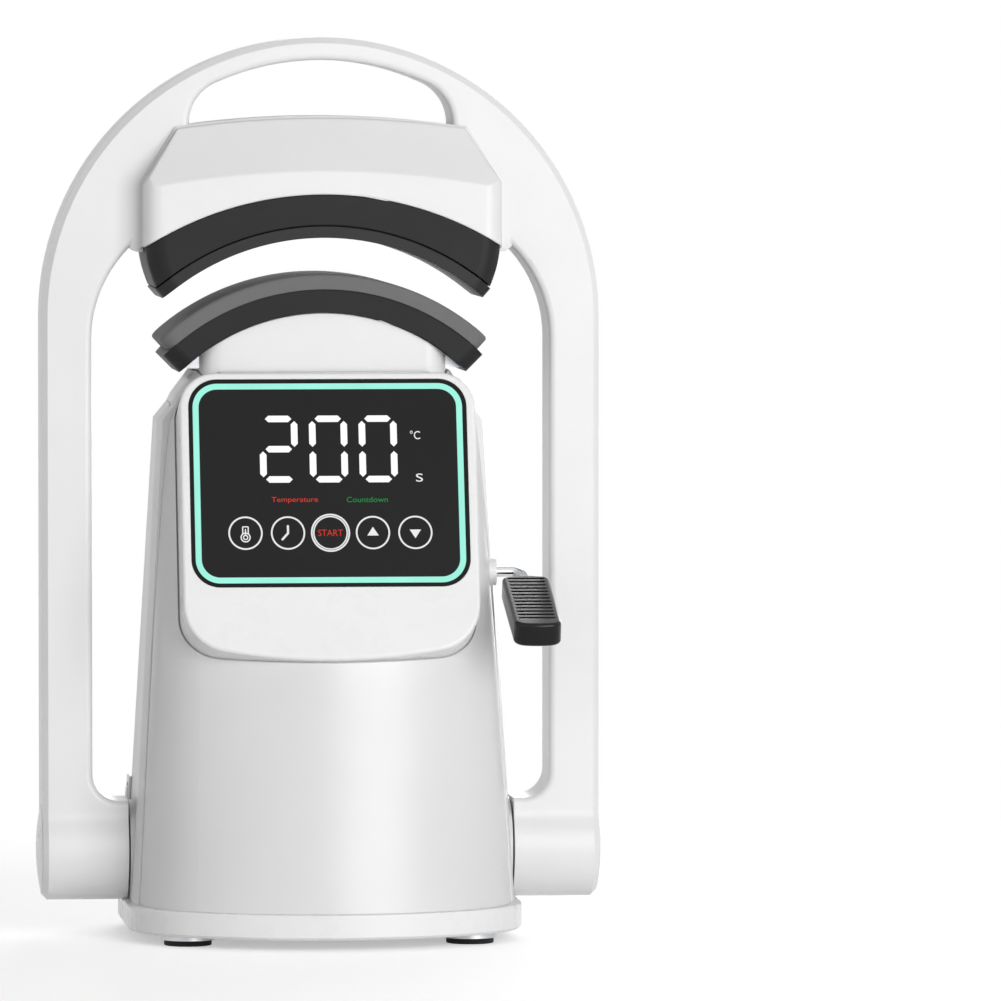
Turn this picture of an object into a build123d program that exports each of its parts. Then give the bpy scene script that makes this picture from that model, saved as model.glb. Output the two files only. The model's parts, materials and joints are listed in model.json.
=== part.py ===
from build123d import *
import os
from math import asin, atan2, cos, degrees, pi, radians, sin, sqrt, tan

# Cap heat press: a column with a leaning touch panel carries a curved pad on a lifting ram, and
# an arch that pivots at the foot of the column carries the curved heating plate above the pad.
# Millimetres. X to the object's right, Y to its back, Z up. The origin is on the table, under
# the middle of the footprint. The arch, the ram and the column are all centred on Y = 0.

# --------------------------------------------------------------------------- driving dimensions
# Fits
SEAT_GAP = 0.3          # curved faces that lie against each other
RUNNING = 0.05          # radial clearance of a shaft in its bush
SLIDE_GAP = 0.8         # the ram in the opening of the column's top
WALL = 2.4              # moulded walls

# Column (plan sections are bowed outlines: half width, half depth, corner and end radius)
PLINTH_HALF_WIDTH = 90.0
PLINTH_HALF_DEPTH = 103.0
PLINTH_CORNER = 60.0
PLINTH_BOW = 110.0
PLINTH_BOTTOM = 5.0
PLINTH_TOP = 16.5
COLUMN_TOP = 258.2
FLANK_FOOT = 84.8       # half width of the core at the plinth
FLANK_KNEE = 78.3       # at the knee, where the front starts to lean
FLANK_SHOULDER = 72.4   # at the shoulder
FLANK_NECK = 67.0
FLANK_TOP = 58.6
KNEE_Z = 130.0
SHOULDER_Z = 236.0
NECK_Z = 247.0
CHEEK_PROUD = 2.4       # side covers outside the core
SPLIT_Y = -12.0         # seam of the front and the rear shell

# Touch panel
LEAN = 16.8             # degrees from upright
PANEL_Y = -63.4         # middle of the glass
PANEL_Z = 208.8
PANEL_WIDTH = 126.0
PANEL_HEIGHT = 96.7
PANEL_CORNER = 13.0
GLASS_THICKNESS = 2.0
GLASS_SUNK = 0.4
RING_INSET = 1.9
RING_WIDTH = 2.7
RING_DEPTH = 0.8
BEZEL_MARGIN = 3.3      # above the glass
BEZEL_SIDE = 4.1        # beside the glass
BEZEL_DROP = 82.3       # from the middle of the glass to the bezel's lowest edge

# Pad and heating plate, concentric once the ram is up
PAD_RADIUS = 110.0
PAD_AXIS_Z = 192.3
PAD_HALF_CHORD = 75.0
PAD_HALF_DEPTH = 35.0
SILICONE = 6.9
PAD_BASE = 10.6
PRESS_GAP = 1.0         # what stays between pad and plate at the top of the travel
RAM_TRAVEL = 15.5
PLATE_THICKNESS = 5.2
PLATE_HALF_CHORD = 73.0
HEAD_HALF_DEPTH = 37.0

# Arch
ARCH_HALF_WIDTH = 127.3
ARCH_AXIS_Z = 282.3
ARCH_DEPTH = 36.0
ARM_WIDTH = 22.8
BAR_THICKNESS = 10.3
ARCH_BEVEL = 2.6
ARCH_ROUND = 3.0
WINDOW_CORNER = 58.5
WINDOW_FOOT = 12.0
HANDLE_HALF_WIDTH = 60.0
HANDLE_CORNER = 20.0
HANDLE_SILL = 360.0
WINDOW_TOP = 331.3      # of the round corners, before the head's arc is cut
PIVOT_Z = 39.1
BOSS_RADIUS = 23.1
BOSS_INNER_X = 88.2
CAP_RISE = 2.2
PIVOT_SHAFT = 8.0       # radius
PIVOT_BUSH = 10.5       # outer radius
HUB_RADIUS = 15.0

# Head
SHIELD_RADIUS = 150.0
SHIELD_AXIS_Z = 188.2
SHIELD_HALF_TOP = 80.8
SHIELD_HALF_FOOT = 76.2
HOOD_HALF_WIDTH = 82.5
HOOD_SHOULDER_X = 66.5
HOOD_SHOULDER_Z = 343.5
HOOD_TOP = 374.0
HOOD_CREASE = 349.0
HOOD_ARC = 451.0        # crown radius of the hood's top and crease

# Ram
NECK_HALF_WIDTH = 56.3
NECK_HALF_DEPTH = 32.0
NECK_CORNER = 10.0
NECK_FOOT = 199.0
SADDLE_Z = 259.4
SADDLE_HALF_DEPTH = 24.0
ROD_X = 38.0
ROD_RADIUS = 5.0
ROD_FOOT = 118.0

# Side lever
LEVER_Y = -26.0
LEVER_Z = 166.3
LEVER_SHAFT = 5.0
LEVER_ROD = 2.4
CRANK = 18.5            # from the lever's axis to the lifting roller
CRANK_SWEEP = 50.0      # degrees, symmetrical about level
ROLLER_RADIUS = 6.0
GRIP_X = 91.2
GRIP_WIDTH = 21.4
GRIP_THICKNESS = 10.8
GRIP_REAR = -37.0
GRIP_FRONT = -101.0
GRIP_TOP_REAR = 165.5
GRIP_SLOPE = 16.0

# Chassis
FRAME_X = 57.0          # inner faces of the side frames
FRAME_THICKNESS = 3.0
PAN_THICKNESS = 4.0
LOWER_GUIDE_Z = 136.0
UPPER_GUIDE_Z = 190.5
GUIDE_THICKNESS = 5.0

# Feet
FOOT_X = 64.0
FOOT_FRONT = -60.0
FOOT_REAR = 66.0
FOOT_RADIUS = 10.8
CUP_RADIUS = 12.3
CUP_FOOT = 2.6

os.makedirs("parts", exist_ok=True)


def save(piece, name):
    """Labels a finished piece and writes it as its own file."""
    piece.part.label = name
    export_step(piece.part, f"parts/{name}.step")


def bowed_outline(half_width, half_depth, corner, bow):
    """Edges of a plan outline with straight flanks, round corners and bowed ends."""
    reach = sqrt((bow - corner) ** 2 - (half_width - corner) ** 2)
    corner_y = half_depth - bow + reach
    turn_x = bow * (half_width - corner) / (bow - corner)
    turn_y = half_depth - bow + bow * reach / (bow - corner)
    slope = atan2(turn_y - corner_y, turn_x - (half_width - corner)) / 2
    knee_x = half_width - corner + corner * cos(slope)
    knee_y = corner_y + corner * sin(slope)
    with BuildLine() as outline:
        Line((half_width, -corner_y), (half_width, corner_y))
        ThreePointArc((half_width, corner_y), (knee_x, knee_y), (turn_x, turn_y))
        ThreePointArc((turn_x, turn_y), (0, half_depth), (-turn_x, turn_y))
        ThreePointArc((-turn_x, turn_y), (-knee_x, knee_y), (-half_width, corner_y))
        Line((-half_width, corner_y), (-half_width, -corner_y))
        ThreePointArc((-half_width, -corner_y), (-knee_x, -knee_y), (-turn_x, -turn_y))
        ThreePointArc((-turn_x, -turn_y), (0, -half_depth), (turn_x, -turn_y))
        ThreePointArc((turn_x, -turn_y), (knee_x, -knee_y), (half_width, -corner_y))
    return outline.edges()


def ring_sector(axis_z, inner, outer, half_angle):
    """Edges of the part of an upright ring that lies within half_angle degrees of its crown."""
    a = radians(half_angle)
    with BuildLine() as outline:
        RadiusArc(
            (-inner * sin(a), axis_z + inner * cos(a)),
            (inner * sin(a), axis_z + inner * cos(a)),
            inner,
        )
        Line(
            (inner * sin(a), axis_z + inner * cos(a)), (outer * sin(a), axis_z + outer * cos(a))
        )
        RadiusArc(
            (outer * sin(a), axis_z + outer * cos(a)),
            (-outer * sin(a), axis_z + outer * cos(a)),
            -outer,
        )
        Line(
            (-outer * sin(a), axis_z + outer * cos(a)),
            (-inner * sin(a), axis_z + inner * cos(a)),
        )
    return outline.edges()


# Places that several pieces share
FRONT = Plane.XZ                        # its local Y is up, and it extrudes towards -Y
PLATE_AXIS_Z = PAD_AXIS_Z + RAM_TRAVEL
PLATE_RADIUS = PAD_RADIUS + PRESS_GAP
PLATE_HALF_ANGLE = degrees(asin(PLATE_HALF_CHORD / PLATE_RADIUS))
PAD_HALF_ANGLE = degrees(asin(PAD_HALF_CHORD / PAD_RADIUS))


# --------------------------------------------------------------------------- column
# Height of each section of the core, then its half width, half depth, corner and end radius
CORE_SECTIONS = [
    (PLINTH_TOP, FLANK_FOOT, 99.5, 56.0, 106.0),
    (KNEE_Z, FLANK_KNEE, 84.3, 42.0, 110.0),
    (SHOULDER_Z, FLANK_SHOULDER, 49.5, 22.0, 130.0),
    (NECK_Z, FLANK_NECK, 45.8, 20.0, 125.0),
    (COLUMN_TOP, FLANK_TOP, 42.5, 18.0, 120.0),
]
# Height, half width and half depth of the block that the side covers are cut from, and how far
# its ends taper along Y until they stand CHEEK_STEP outside the core
CHEEK_TAPER = 11.0
CHEEK_STEP = 0.5
CHEEK_SECTIONS = [
    (PLINTH_TOP, FLANK_FOOT + CHEEK_PROUD, 40.0),
    (SHOULDER_Z, FLANK_SHOULDER + CHEEK_PROUD, 26.0),
    (NECK_Z, FLANK_NECK - 1.0, 25.0),
]


def core_loft(grow):
    """The column's core, with every section grown by the given amount."""
    with BuildPart() as body:
        for z, half_width, half_depth, corner, bow in CORE_SECTIONS:
            top = z + min(grow, 0.0) if z == COLUMN_TOP else z
            with BuildSketch(Plane.XY.offset(top)):
                make_face(
                    bowed_outline(half_width + grow, half_depth + grow, corner + grow, bow + grow)
                )
        loft(ruled=True)
    return body.part


CORE = core_loft(0.0)
CORE_HOLLOW = core_loft(-WALL)
BEZEL_RECESS = 1.2      # depth of the bezel's seat in the front shell
BEZEL_GAP = 0.6
CORE_SEAT = core_loft(-BEZEL_RECESS)
CORE_CLEAR = core_loft(BEZEL_GAP - BEZEL_RECESS)
PANEL_PLANE = Plane(
    origin=(0, PANEL_Y, PANEL_Z),
    x_dir=(1, 0, 0),
    z_dir=(0, -cos(radians(LEAN)), sin(radians(LEAN))),
)
BEZEL_HALF_WIDTH = PANEL_WIDTH / 2 + BEZEL_SIDE
BEZEL_TOP = PANEL_HEIGHT / 2 + BEZEL_MARGIN
BEZEL_SWEEP = 8.5       # how far the bezel's lowest edge bows
BEZEL_FOOT_CORNER = 22.0
BEZEL_DEPTH = 36.0
BOARD_INSET = (7.0, 6.35)  # from the glass's edges
BOARD_WIDTH = PANEL_WIDTH - 2 * BOARD_INSET[0]
BOARD_HEIGHT = PANEL_HEIGHT - 2 * BOARD_INSET[1]
BOARD_THICKNESS = 1.6
WINDOW_MARGIN = 2.0
LEVER_COLLAR = 6.2
PIVOT_PAD = 22.4        # round pads on the side covers, facing the pivot bosses
SWITCH_Y = 31.0
SWITCH_Z = 58.0
SWITCH_WIDTH = 14.0     # along Y
SWITCH_HEIGHT = 22.0
CHEEK_SLOPE = atan2(FLANK_FOOT - FLANK_SHOULDER, SHOULDER_Z - PLINTH_TOP)
SWITCH_X = FLANK_FOOT + CHEEK_PROUD - (SWITCH_Z - PLINTH_TOP) * tan(CHEEK_SLOPE)
SWITCH_PLANE = Plane(
    origin=(-SWITCH_X, SWITCH_Y, SWITCH_Z),
    x_dir=(0, -1, 0),
    z_dir=(-cos(CHEEK_SLOPE), 0, sin(CHEEK_SLOPE)),
)
INLET_Z = 46.0
INLET_WIDTH = 27.0
INLET_HEIGHT = 20.0
INLET_PROUD = 2.5       # of the inlet's face outside the rear shell
FOOT_HALF_DEPTH = CORE_SECTIONS[0][2]
REAR_SLOPE = atan2(FOOT_HALF_DEPTH - CORE_SECTIONS[1][2], KNEE_Z - PLINTH_TOP)
INLET_Y = FOOT_HALF_DEPTH - (INLET_Z - PLINTH_TOP) * tan(REAR_SLOPE)
INLET_PLANE = Plane(
    origin=(0, INLET_Y + INLET_PROUD * cos(REAR_SLOPE), INLET_Z + INLET_PROUD * sin(REAR_SLOPE)),
    x_dir=(-1, 0, 0),
    z_dir=(0, cos(REAR_SLOPE), sin(REAR_SLOPE)),
)
VENT_COUNT = 7
VENT_PITCH = 8.0
VENT_SIZE = (54.0, 3.2)
VENT_Z = 172.0
PIVOT_SIDES = (-1, 1)


def bezel_outline(grow):
    """The bezel's outline on the touch panel's plane, grown by the given amount."""
    foot = BEZEL_SWEEP - BEZEL_DROP
    with BuildSketch() as outline:
        with BuildLine():
            Polyline(
                (-BEZEL_HALF_WIDTH, foot),
                (-BEZEL_HALF_WIDTH, BEZEL_TOP),
                (BEZEL_HALF_WIDTH, BEZEL_TOP),
                (BEZEL_HALF_WIDTH, foot),
            )
            ThreePointArc((BEZEL_HALF_WIDTH, foot), (0, -BEZEL_DROP), (-BEZEL_HALF_WIDTH, foot))
        make_face()
        fillet(vertices().sort_by(Axis.Y)[-2:], PANEL_CORNER + BEZEL_MARGIN)
        fillet(vertices().sort_by(Axis.Y)[:2], BEZEL_FOOT_CORNER)
        offset(amount=grow)
    return outline.sketch


with BuildPart() as bezel_seat:
    with BuildSketch(PANEL_PLANE):
        add(bezel_outline(BEZEL_GAP))
    extrude(amount=-BEZEL_DEPTH, both=True)
    add(CORE_SEAT, mode=Mode.SUBTRACT)

with BuildPart() as column:
    add(CORE)
    add(CORE_HOLLOW, mode=Mode.SUBTRACT)
    add(bezel_seat.part, mode=Mode.SUBTRACT)
    # opening of the ram
    with BuildSketch(Plane.XY.offset(NECK_Z)):
        RectangleRounded(
            2 * (NECK_HALF_WIDTH + SLIDE_GAP),
            2 * (NECK_HALF_DEPTH + SLIDE_GAP),
            NECK_CORNER + SLIDE_GAP,
        )
    extrude(amount=COLUMN_TOP - NECK_Z, mode=Mode.SUBTRACT)
    # window behind the touch panel
    with BuildSketch(PANEL_PLANE):
        Rectangle(BOARD_WIDTH + 2 * WINDOW_MARGIN, BOARD_HEIGHT + 2 * WINDOW_MARGIN)
    extrude(amount=-BEZEL_DEPTH, mode=Mode.SUBTRACT)
    # bores of the pivot shafts and of the lever's collar
    with BuildSketch(Plane.YZ):
        with Locations((0, PIVOT_Z)):
            Circle(PIVOT_SHAFT + SEAT_GAP)
    extrude(amount=ARCH_HALF_WIDTH, both=True, mode=Mode.SUBTRACT)
    with BuildSketch(Plane.YZ):
        with Locations((LEVER_Y, LEVER_Z)):
            Circle(LEVER_COLLAR)
    extrude(amount=ARCH_HALF_WIDTH, mode=Mode.SUBTRACT)
    # power inlet, power switch and vents
    with BuildSketch(INLET_PLANE):
        Rectangle(INLET_WIDTH, INLET_HEIGHT)
    extrude(amount=BEZEL_DEPTH, both=True, mode=Mode.SUBTRACT)
    with BuildSketch(SWITCH_PLANE.offset(CHEEK_PROUD)):
        Rectangle(SWITCH_WIDTH, SWITCH_HEIGHT)
    extrude(amount=-BEZEL_DEPTH, mode=Mode.SUBTRACT)
    with BuildSketch(Plane.XZ):
        with Locations((0, VENT_Z)):
            with GridLocations(0, VENT_PITCH, 1, VENT_COUNT):
                SlotOverall(*VENT_SIZE)
    extrude(amount=-PLINTH_HALF_DEPTH, mode=Mode.SUBTRACT)

with BuildPart() as front_shell:
    add(column.part)
    split(bisect_by=Plane.XZ.offset(-SPLIT_Y), keep=Keep.TOP)
save(front_shell, "front_shell")

with BuildPart() as rear_shell:
    add(column.part)
    split(bisect_by=Plane.XZ.offset(-SPLIT_Y), keep=Keep.BOTTOM)
save(rear_shell, "rear_shell")

with BuildPart() as cheeks:
    for z, half_width, half_depth in CHEEK_SECTIONS:
        edge = half_width - CHEEK_PROUD + CHEEK_STEP
        flat = half_depth - CHEEK_TAPER
        with BuildSketch(Plane.XY.offset(z)):
            Polygon(
                (half_width, -flat),
                (half_width, flat),
                (edge, half_depth),
                (-edge, half_depth),
                (-half_width, flat),
                (-half_width, -flat),
                (-edge, -half_depth),
                (edge, -half_depth),
                align=None,
            )
    loft(ruled=True)
    with BuildSketch(Plane.YZ):
        with Locations((0, PIVOT_Z)):
            Circle(PIVOT_PAD)
    extrude(amount=BOSS_INNER_X - SLIDE_GAP, both=True)
    add(CORE, mode=Mode.SUBTRACT)
    with BuildSketch(Plane.YZ):
        with Locations((0, PIVOT_Z)):
            Circle(PIVOT_SHAFT + SEAT_GAP)
    extrude(amount=ARCH_HALF_WIDTH, both=True, mode=Mode.SUBTRACT)
    with BuildSketch(Plane.YZ):
        with Locations((LEVER_Y, LEVER_Z)):
            Circle(LEVER_COLLAR)
    extrude(amount=ARCH_HALF_WIDTH, mode=Mode.SUBTRACT)
    with BuildSketch(SWITCH_PLANE.offset(CHEEK_PROUD)):
        Rectangle(SWITCH_WIDTH, SWITCH_HEIGHT)
    extrude(amount=-BEZEL_DEPTH, mode=Mode.SUBTRACT)

for side, name in ((Keep.TOP, "side_cover_right"), (Keep.BOTTOM, "side_cover_left")):
    with BuildPart() as side_cover:
        add(cheeks.part)
        split(bisect_by=Plane.YZ, keep=side)
    save(side_cover, name)

# --------------------------------------------------------------------------- touch panel
PANEL_AXIS = Axis(PANEL_PLANE.origin, PANEL_PLANE.z_dir)
BEZEL_ROUND = 1.6
GLASS_FIT = 0.2
GLASS_LEDGE = 3.5

with BuildPart() as bezel:
    with BuildSketch(PANEL_PLANE.offset(GLASS_SUNK)):
        add(bezel_outline(0.0))
    extrude(amount=-BEZEL_DEPTH)
    fillet(faces().sort_by(PANEL_AXIS)[-1].edges(), BEZEL_ROUND)
    # hollow behind the front wall
    with BuildSketch(PANEL_PLANE.offset(-GLASS_THICKNESS - WALL)):
        RectangleRounded(
            2 * (BEZEL_HALF_WIDTH - WALL), 2 * (BEZEL_TOP - WALL), PANEL_CORNER + BEZEL_MARGIN - WALL
        )
    extrude(amount=-BEZEL_DEPTH, mode=Mode.SUBTRACT)
    add(CORE_CLEAR, mode=Mode.SUBTRACT)
    # seat of the glass and the window behind it
    with BuildSketch(PANEL_PLANE.offset(-GLASS_THICKNESS)):
        RectangleRounded(PANEL_WIDTH + GLASS_FIT, PANEL_HEIGHT + GLASS_FIT, PANEL_CORNER)
    extrude(amount=BEZEL_DEPTH, mode=Mode.SUBTRACT)
    with BuildSketch(PANEL_PLANE):
        RectangleRounded(
            PANEL_WIDTH - 2 * GLASS_LEDGE, PANEL_HEIGHT - 2 * GLASS_LEDGE, PANEL_CORNER - GLASS_LEDGE
        )
    extrude(amount=-BEZEL_DEPTH, mode=Mode.SUBTRACT)
save(bezel, "bezel")

with BuildPart() as glass_panel:
    with BuildSketch(PANEL_PLANE):
        RectangleRounded(PANEL_WIDTH, PANEL_HEIGHT, PANEL_CORNER)
    extrude(amount=-GLASS_THICKNESS)
    with BuildSketch(PANEL_PLANE):
        RectangleRounded(
            PANEL_WIDTH - 2 * RING_INSET, PANEL_HEIGHT - 2 * RING_INSET, PANEL_CORNER - RING_INSET
        )
        RectangleRounded(
            PANEL_WIDTH - 2 * RING_INSET - 2 * RING_WIDTH,
            PANEL_HEIGHT - 2 * RING_INSET - 2 * RING_WIDTH,
            PANEL_CORNER - RING_INSET - RING_WIDTH,
            mode=Mode.SUBTRACT,
        )
    extrude(amount=-RING_DEPTH, mode=Mode.SUBTRACT)
save(glass_panel, "glass_panel")

with BuildPart() as light_ring:
    with BuildSketch(PANEL_PLANE):
        RectangleRounded(
            PANEL_WIDTH - 2 * RING_INSET, PANEL_HEIGHT - 2 * RING_INSET, PANEL_CORNER - RING_INSET
        )
        RectangleRounded(
            PANEL_WIDTH - 2 * RING_INSET - 2 * RING_WIDTH,
            PANEL_HEIGHT - 2 * RING_INSET - 2 * RING_WIDTH,
            PANEL_CORNER - RING_INSET - RING_WIDTH,
            mode=Mode.SUBTRACT,
        )
    extrude(amount=-RING_DEPTH)
save(light_ring, "light_ring")

DIGIT_X = 5.5           # middle of the three digits
DIGIT_V = 26.5
DISPLAY_SIZE = (68.0, 34.0, 5.0)
with BuildPart() as touch_board:
    with BuildSketch(PANEL_PLANE.offset(-GLASS_THICKNESS)):
        Rectangle(BOARD_WIDTH, BOARD_HEIGHT)
    extrude(amount=-BOARD_THICKNESS)
save(touch_board, "touch_board")

with BuildPart() as display_driver:
    with BuildSketch(PANEL_PLANE.offset(-GLASS_THICKNESS - BOARD_THICKNESS)):
        with Locations((DIGIT_X, DIGIT_V)):
            Rectangle(*DISPLAY_SIZE[:2])
    extrude(amount=-DISPLAY_SIZE[2])
save(display_driver, "display_driver")

# --------------------------------------------------------------------------- plinth and feet
PAN_Z = PLINTH_BOTTOM + WALL
FEET = [(x, y) for x in (-FOOT_X, FOOT_X) for y in (FOOT_FRONT, FOOT_REAR)]
FOOT_SCREW = 2.0
FOOT_RECESS = 1.4
FOOT_HEAD = (3.6, 1.6)  # radius and height of the head
FOOT_ROUND = 0.6
PLINTH_SIZE = (PLINTH_HALF_WIDTH, PLINTH_HALF_DEPTH, PLINTH_CORNER, PLINTH_BOW)
PLINTH_CHAMFER = 1.2
PLINTH_ROUND = 0.8

with BuildPart() as plinth:
    with BuildSketch(Plane.XY.offset(PLINTH_BOTTOM)):
        make_face(bowed_outline(*PLINTH_SIZE))
    extrude(amount=PLINTH_TOP - PLINTH_BOTTOM)
    chamfer(faces().sort_by(Axis.Z)[0].edges(), PLINTH_CHAMFER)
    fillet(faces().sort_by(Axis.Z)[-1].edges(), PLINTH_ROUND)
    with BuildSketch(Plane.XY.offset(PAN_Z)):
        make_face(bowed_outline(*(size - WALL for size in PLINTH_SIZE)))
    extrude(amount=PLINTH_TOP, mode=Mode.SUBTRACT)
    with Locations(*[(x, y, PAN_Z) for x, y in FEET]):
        Hole(FOOT_SCREW)
    # clearance round the arch's pivot bosses
    for side in PIVOT_SIDES:
        with BuildSketch(Plane.YZ.offset(side * (BOSS_INNER_X - SLIDE_GAP))):
            with Locations((0, PIVOT_Z)):
                Circle(BOSS_RADIUS + SLIDE_GAP)
        extrude(amount=side * 2 * WALL, mode=Mode.SUBTRACT)
    # seat of the shells: a lip that closes the gap between the plinth's wall and the core
    with BuildSketch(Plane.XY.offset(PLINTH_TOP - WALL)):
        make_face(bowed_outline(*(size - WALL for size in PLINTH_SIZE)))
        make_face(
            bowed_outline(*(size - 2 * WALL for size in CORE_SECTIONS[0][1:])), mode=Mode.SUBTRACT
        )
    extrude(amount=WALL)
save(plinth, "plinth")

with BuildPart() as base_pan:
    with BuildSketch(Plane.XY.offset(PAN_Z)):
        make_face(bowed_outline(*(size - WALL - SEAT_GAP for size in PLINTH_SIZE)))
    extrude(amount=PAN_THICKNESS)
    with Locations(*[(x, y, PAN_Z + PAN_THICKNESS) for x, y in FEET]):
        Hole(FOOT_SCREW)
save(base_pan, "base_pan")

with BuildPart() as foot_cups:
    with Locations(*[(x, y, CUP_FOOT) for x, y in FEET]):
        Cylinder(CUP_RADIUS, PLINTH_BOTTOM - CUP_FOOT, align=(Align.CENTER, Align.CENTER, Align.MIN))
    with Locations(*[(x, y, CUP_FOOT) for x, y in FEET]):
        Cylinder(
            FOOT_RADIUS,
            FOOT_RECESS,
            align=(Align.CENTER, Align.CENTER, Align.MIN),
            mode=Mode.SUBTRACT,
        )
    with Locations(*[(x, y, PLINTH_BOTTOM) for x, y in FEET]):
        Hole(FOOT_SCREW)
save(foot_cups, "foot_cups")

with BuildPart() as rubber_feet:
    with Locations(*[(x, y, 0) for x, y in FEET]):
        Cylinder(FOOT_RADIUS, CUP_FOOT + FOOT_RECESS, align=(Align.CENTER, Align.CENTER, Align.MIN))
    fillet(edges().group_by(Axis.Z)[0], FOOT_ROUND)
    with Locations(*[(x, y, 0) for x, y in FEET]):
        Cylinder(
            2 * FOOT_SCREW, CUP_FOOT, align=(Align.CENTER, Align.CENTER, Align.MIN), mode=Mode.SUBTRACT
        )
    with Locations(*[(x, y, CUP_FOOT + FOOT_RECESS) for x, y in FEET]):
        Hole(FOOT_SCREW)
save(rubber_feet, "rubber_feet")

with BuildPart() as foot_screws:
    with Locations(*[(x, y, CUP_FOOT) for x, y in FEET]):
        Cylinder(
            FOOT_SCREW,
            PAN_Z + PAN_THICKNESS - CUP_FOOT,
            align=(Align.CENTER, Align.CENTER, Align.MIN),
        )
    with Locations(*[(x, y, CUP_FOOT) for x, y in FEET]):
        Cylinder(*FOOT_HEAD, align=(Align.CENTER, Align.CENTER, Align.MAX))
save(foot_screws, "foot_screws")

# --------------------------------------------------------------------------- chassis
FRAME_FOOT_Z = PAN_Z + PAN_THICKNESS
FRAME_TOP = UPPER_GUIDE_Z + GUIDE_THICKNESS
# Y and Z of the side frames' corners
FRAME_OUTLINE = [(-40, FRAME_FOOT_Z), (40, FRAME_FOOT_Z), (26, FRAME_TOP), (-36, FRAME_TOP)]
FRAME_FLANGE = (16.0, 72.0)
FRAME_HOLE = 14.6       # radius of the lightening hole
LEVER_BUSH = 7.0
GUIDE_HALF_DEPTH = 22.0
UPPER_GUIDE_FRONT = -34.0
BUSH_RADIUS = 8.0
BUSH_STAND = 1.0
RODS = [(-ROD_X, 0), (ROD_X, 0)]

for side, name in ((-1, "side_frame_left"), (1, "side_frame_right")):
    with BuildPart() as side_frame:
        with BuildSketch(Plane.YZ.offset(side * FRAME_X)):
            Polygon(*FRAME_OUTLINE, align=None)
            with Locations((0, PIVOT_Z)):
                Circle(PIVOT_SHAFT, mode=Mode.SUBTRACT)
            with Locations((0, 0.5 * (LOWER_GUIDE_Z + PIVOT_Z))):
                Circle(FRAME_HOLE, mode=Mode.SUBTRACT)
            if side > 0:
                with Locations((LEVER_Y, LEVER_Z)):
                    Circle(LEVER_BUSH, mode=Mode.SUBTRACT)
        extrude(amount=side * FRAME_THICKNESS)
        with BuildSketch(Plane.XY.offset(FRAME_FOOT_Z)):
            with Locations((side * (FRAME_X - FRAME_FLANGE[0] / 2), 0)):
                Rectangle(*FRAME_FLANGE)
        extrude(amount=FRAME_THICKNESS)
    save(side_frame, name)

with BuildPart() as guide_plates:
    for z, front in ((LOWER_GUIDE_Z, -GUIDE_HALF_DEPTH), (UPPER_GUIDE_Z, UPPER_GUIDE_FRONT)):
        with BuildSketch(Plane.XY.offset(z)):
            with Locations((0, (front + GUIDE_HALF_DEPTH) / 2)):
                Rectangle(2 * FRAME_X, GUIDE_HALF_DEPTH - front)
            with Locations(*RODS):
                Circle(BUSH_RADIUS, mode=Mode.SUBTRACT)
        extrude(amount=GUIDE_THICKNESS)
save(guide_plates, "guide_plates")

with BuildPart() as rod_bushes:
    for z in (LOWER_GUIDE_Z, UPPER_GUIDE_Z):
        with BuildSketch(Plane.XY.offset(z - BUSH_STAND)):
            with Locations(*RODS):
                Circle(BUSH_RADIUS)
            with Locations(*RODS):
                Circle(ROD_RADIUS + RUNNING, mode=Mode.SUBTRACT)
        extrude(amount=GUIDE_THICKNESS + 2 * BUSH_STAND)
save(rod_bushes, "rod_bushes")

SHAFT_OUTER = 118.3
SHAFT_FLANGE = 16.0
PIVOT_THREAD = 4.0
with BuildPart() as pivot_shafts:
    for side in PIVOT_SIDES:
        with BuildSketch(Plane.YZ.offset(side * (FRAME_X - FRAME_THICKNESS))):
            with Locations((0, PIVOT_Z)):
                Circle(SHAFT_FLANGE)
        extrude(amount=side * FRAME_THICKNESS)
        with BuildSketch(Plane.YZ.offset(side * FRAME_X)):
            with Locations((0, PIVOT_Z)):
                Circle(PIVOT_SHAFT)
        extrude(amount=side * (SHAFT_OUTER - FRAME_X))
        with BuildSketch(Plane.YZ.offset(side * SHAFT_OUTER)):
            with Locations((0, PIVOT_Z)):
                Circle(PIVOT_THREAD)
        extrude(amount=-side * 3 * PIVOT_THREAD, mode=Mode.SUBTRACT)
save(pivot_shafts, "pivot_shafts")

PIVOT_WASHER = 14.0
PIVOT_WASHER_THICKNESS = 1.5
with BuildPart() as pivot_washers:
    for side in PIVOT_SIDES:
        with BuildSketch(Plane.YZ.offset(side * SHAFT_OUTER)):
            with Locations((0, PIVOT_Z)):
                Circle(PIVOT_WASHER)
                Circle(PIVOT_THREAD, mode=Mode.SUBTRACT)
        extrude(amount=side * PIVOT_WASHER_THICKNESS)
save(pivot_washers, "pivot_washers")

with BuildPart() as pivot_screws:
    for side in PIVOT_SIDES:
        with BuildSketch(Plane.YZ.offset(side * (SHAFT_OUTER + PIVOT_WASHER_THICKNESS))):
            with Locations((0, PIVOT_Z)):
                Circle(PIVOT_THREAD)
        extrude(amount=-side * (3 * PIVOT_THREAD + PIVOT_WASHER_THICKNESS))
        with BuildSketch(Plane.YZ.offset(side * (SHAFT_OUTER + PIVOT_WASHER_THICKNESS))):
            with Locations((0, PIVOT_Z)):
                RegularPolygon(1.7 * PIVOT_THREAD, 6)
        extrude(amount=side * 0.8 * PIVOT_THREAD)
save(pivot_screws, "pivot_screws")

# --------------------------------------------------------------------------- side lever
CAM_HALF_WIDTH = 8.0
CAM_HUB = 8.5
CAM_ARM = 6.0
SHAFT_START = -18.0
SHAFT_END = 78.0
HANGER_X = -16.0
REST_ANGLE = radians(-CRANK_SWEEP / 2)
NOSE_Y = LEVER_Y + CRANK * cos(REST_ANGLE)
NOSE_Z = LEVER_Z + CRANK * sin(REST_ANGLE)

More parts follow.
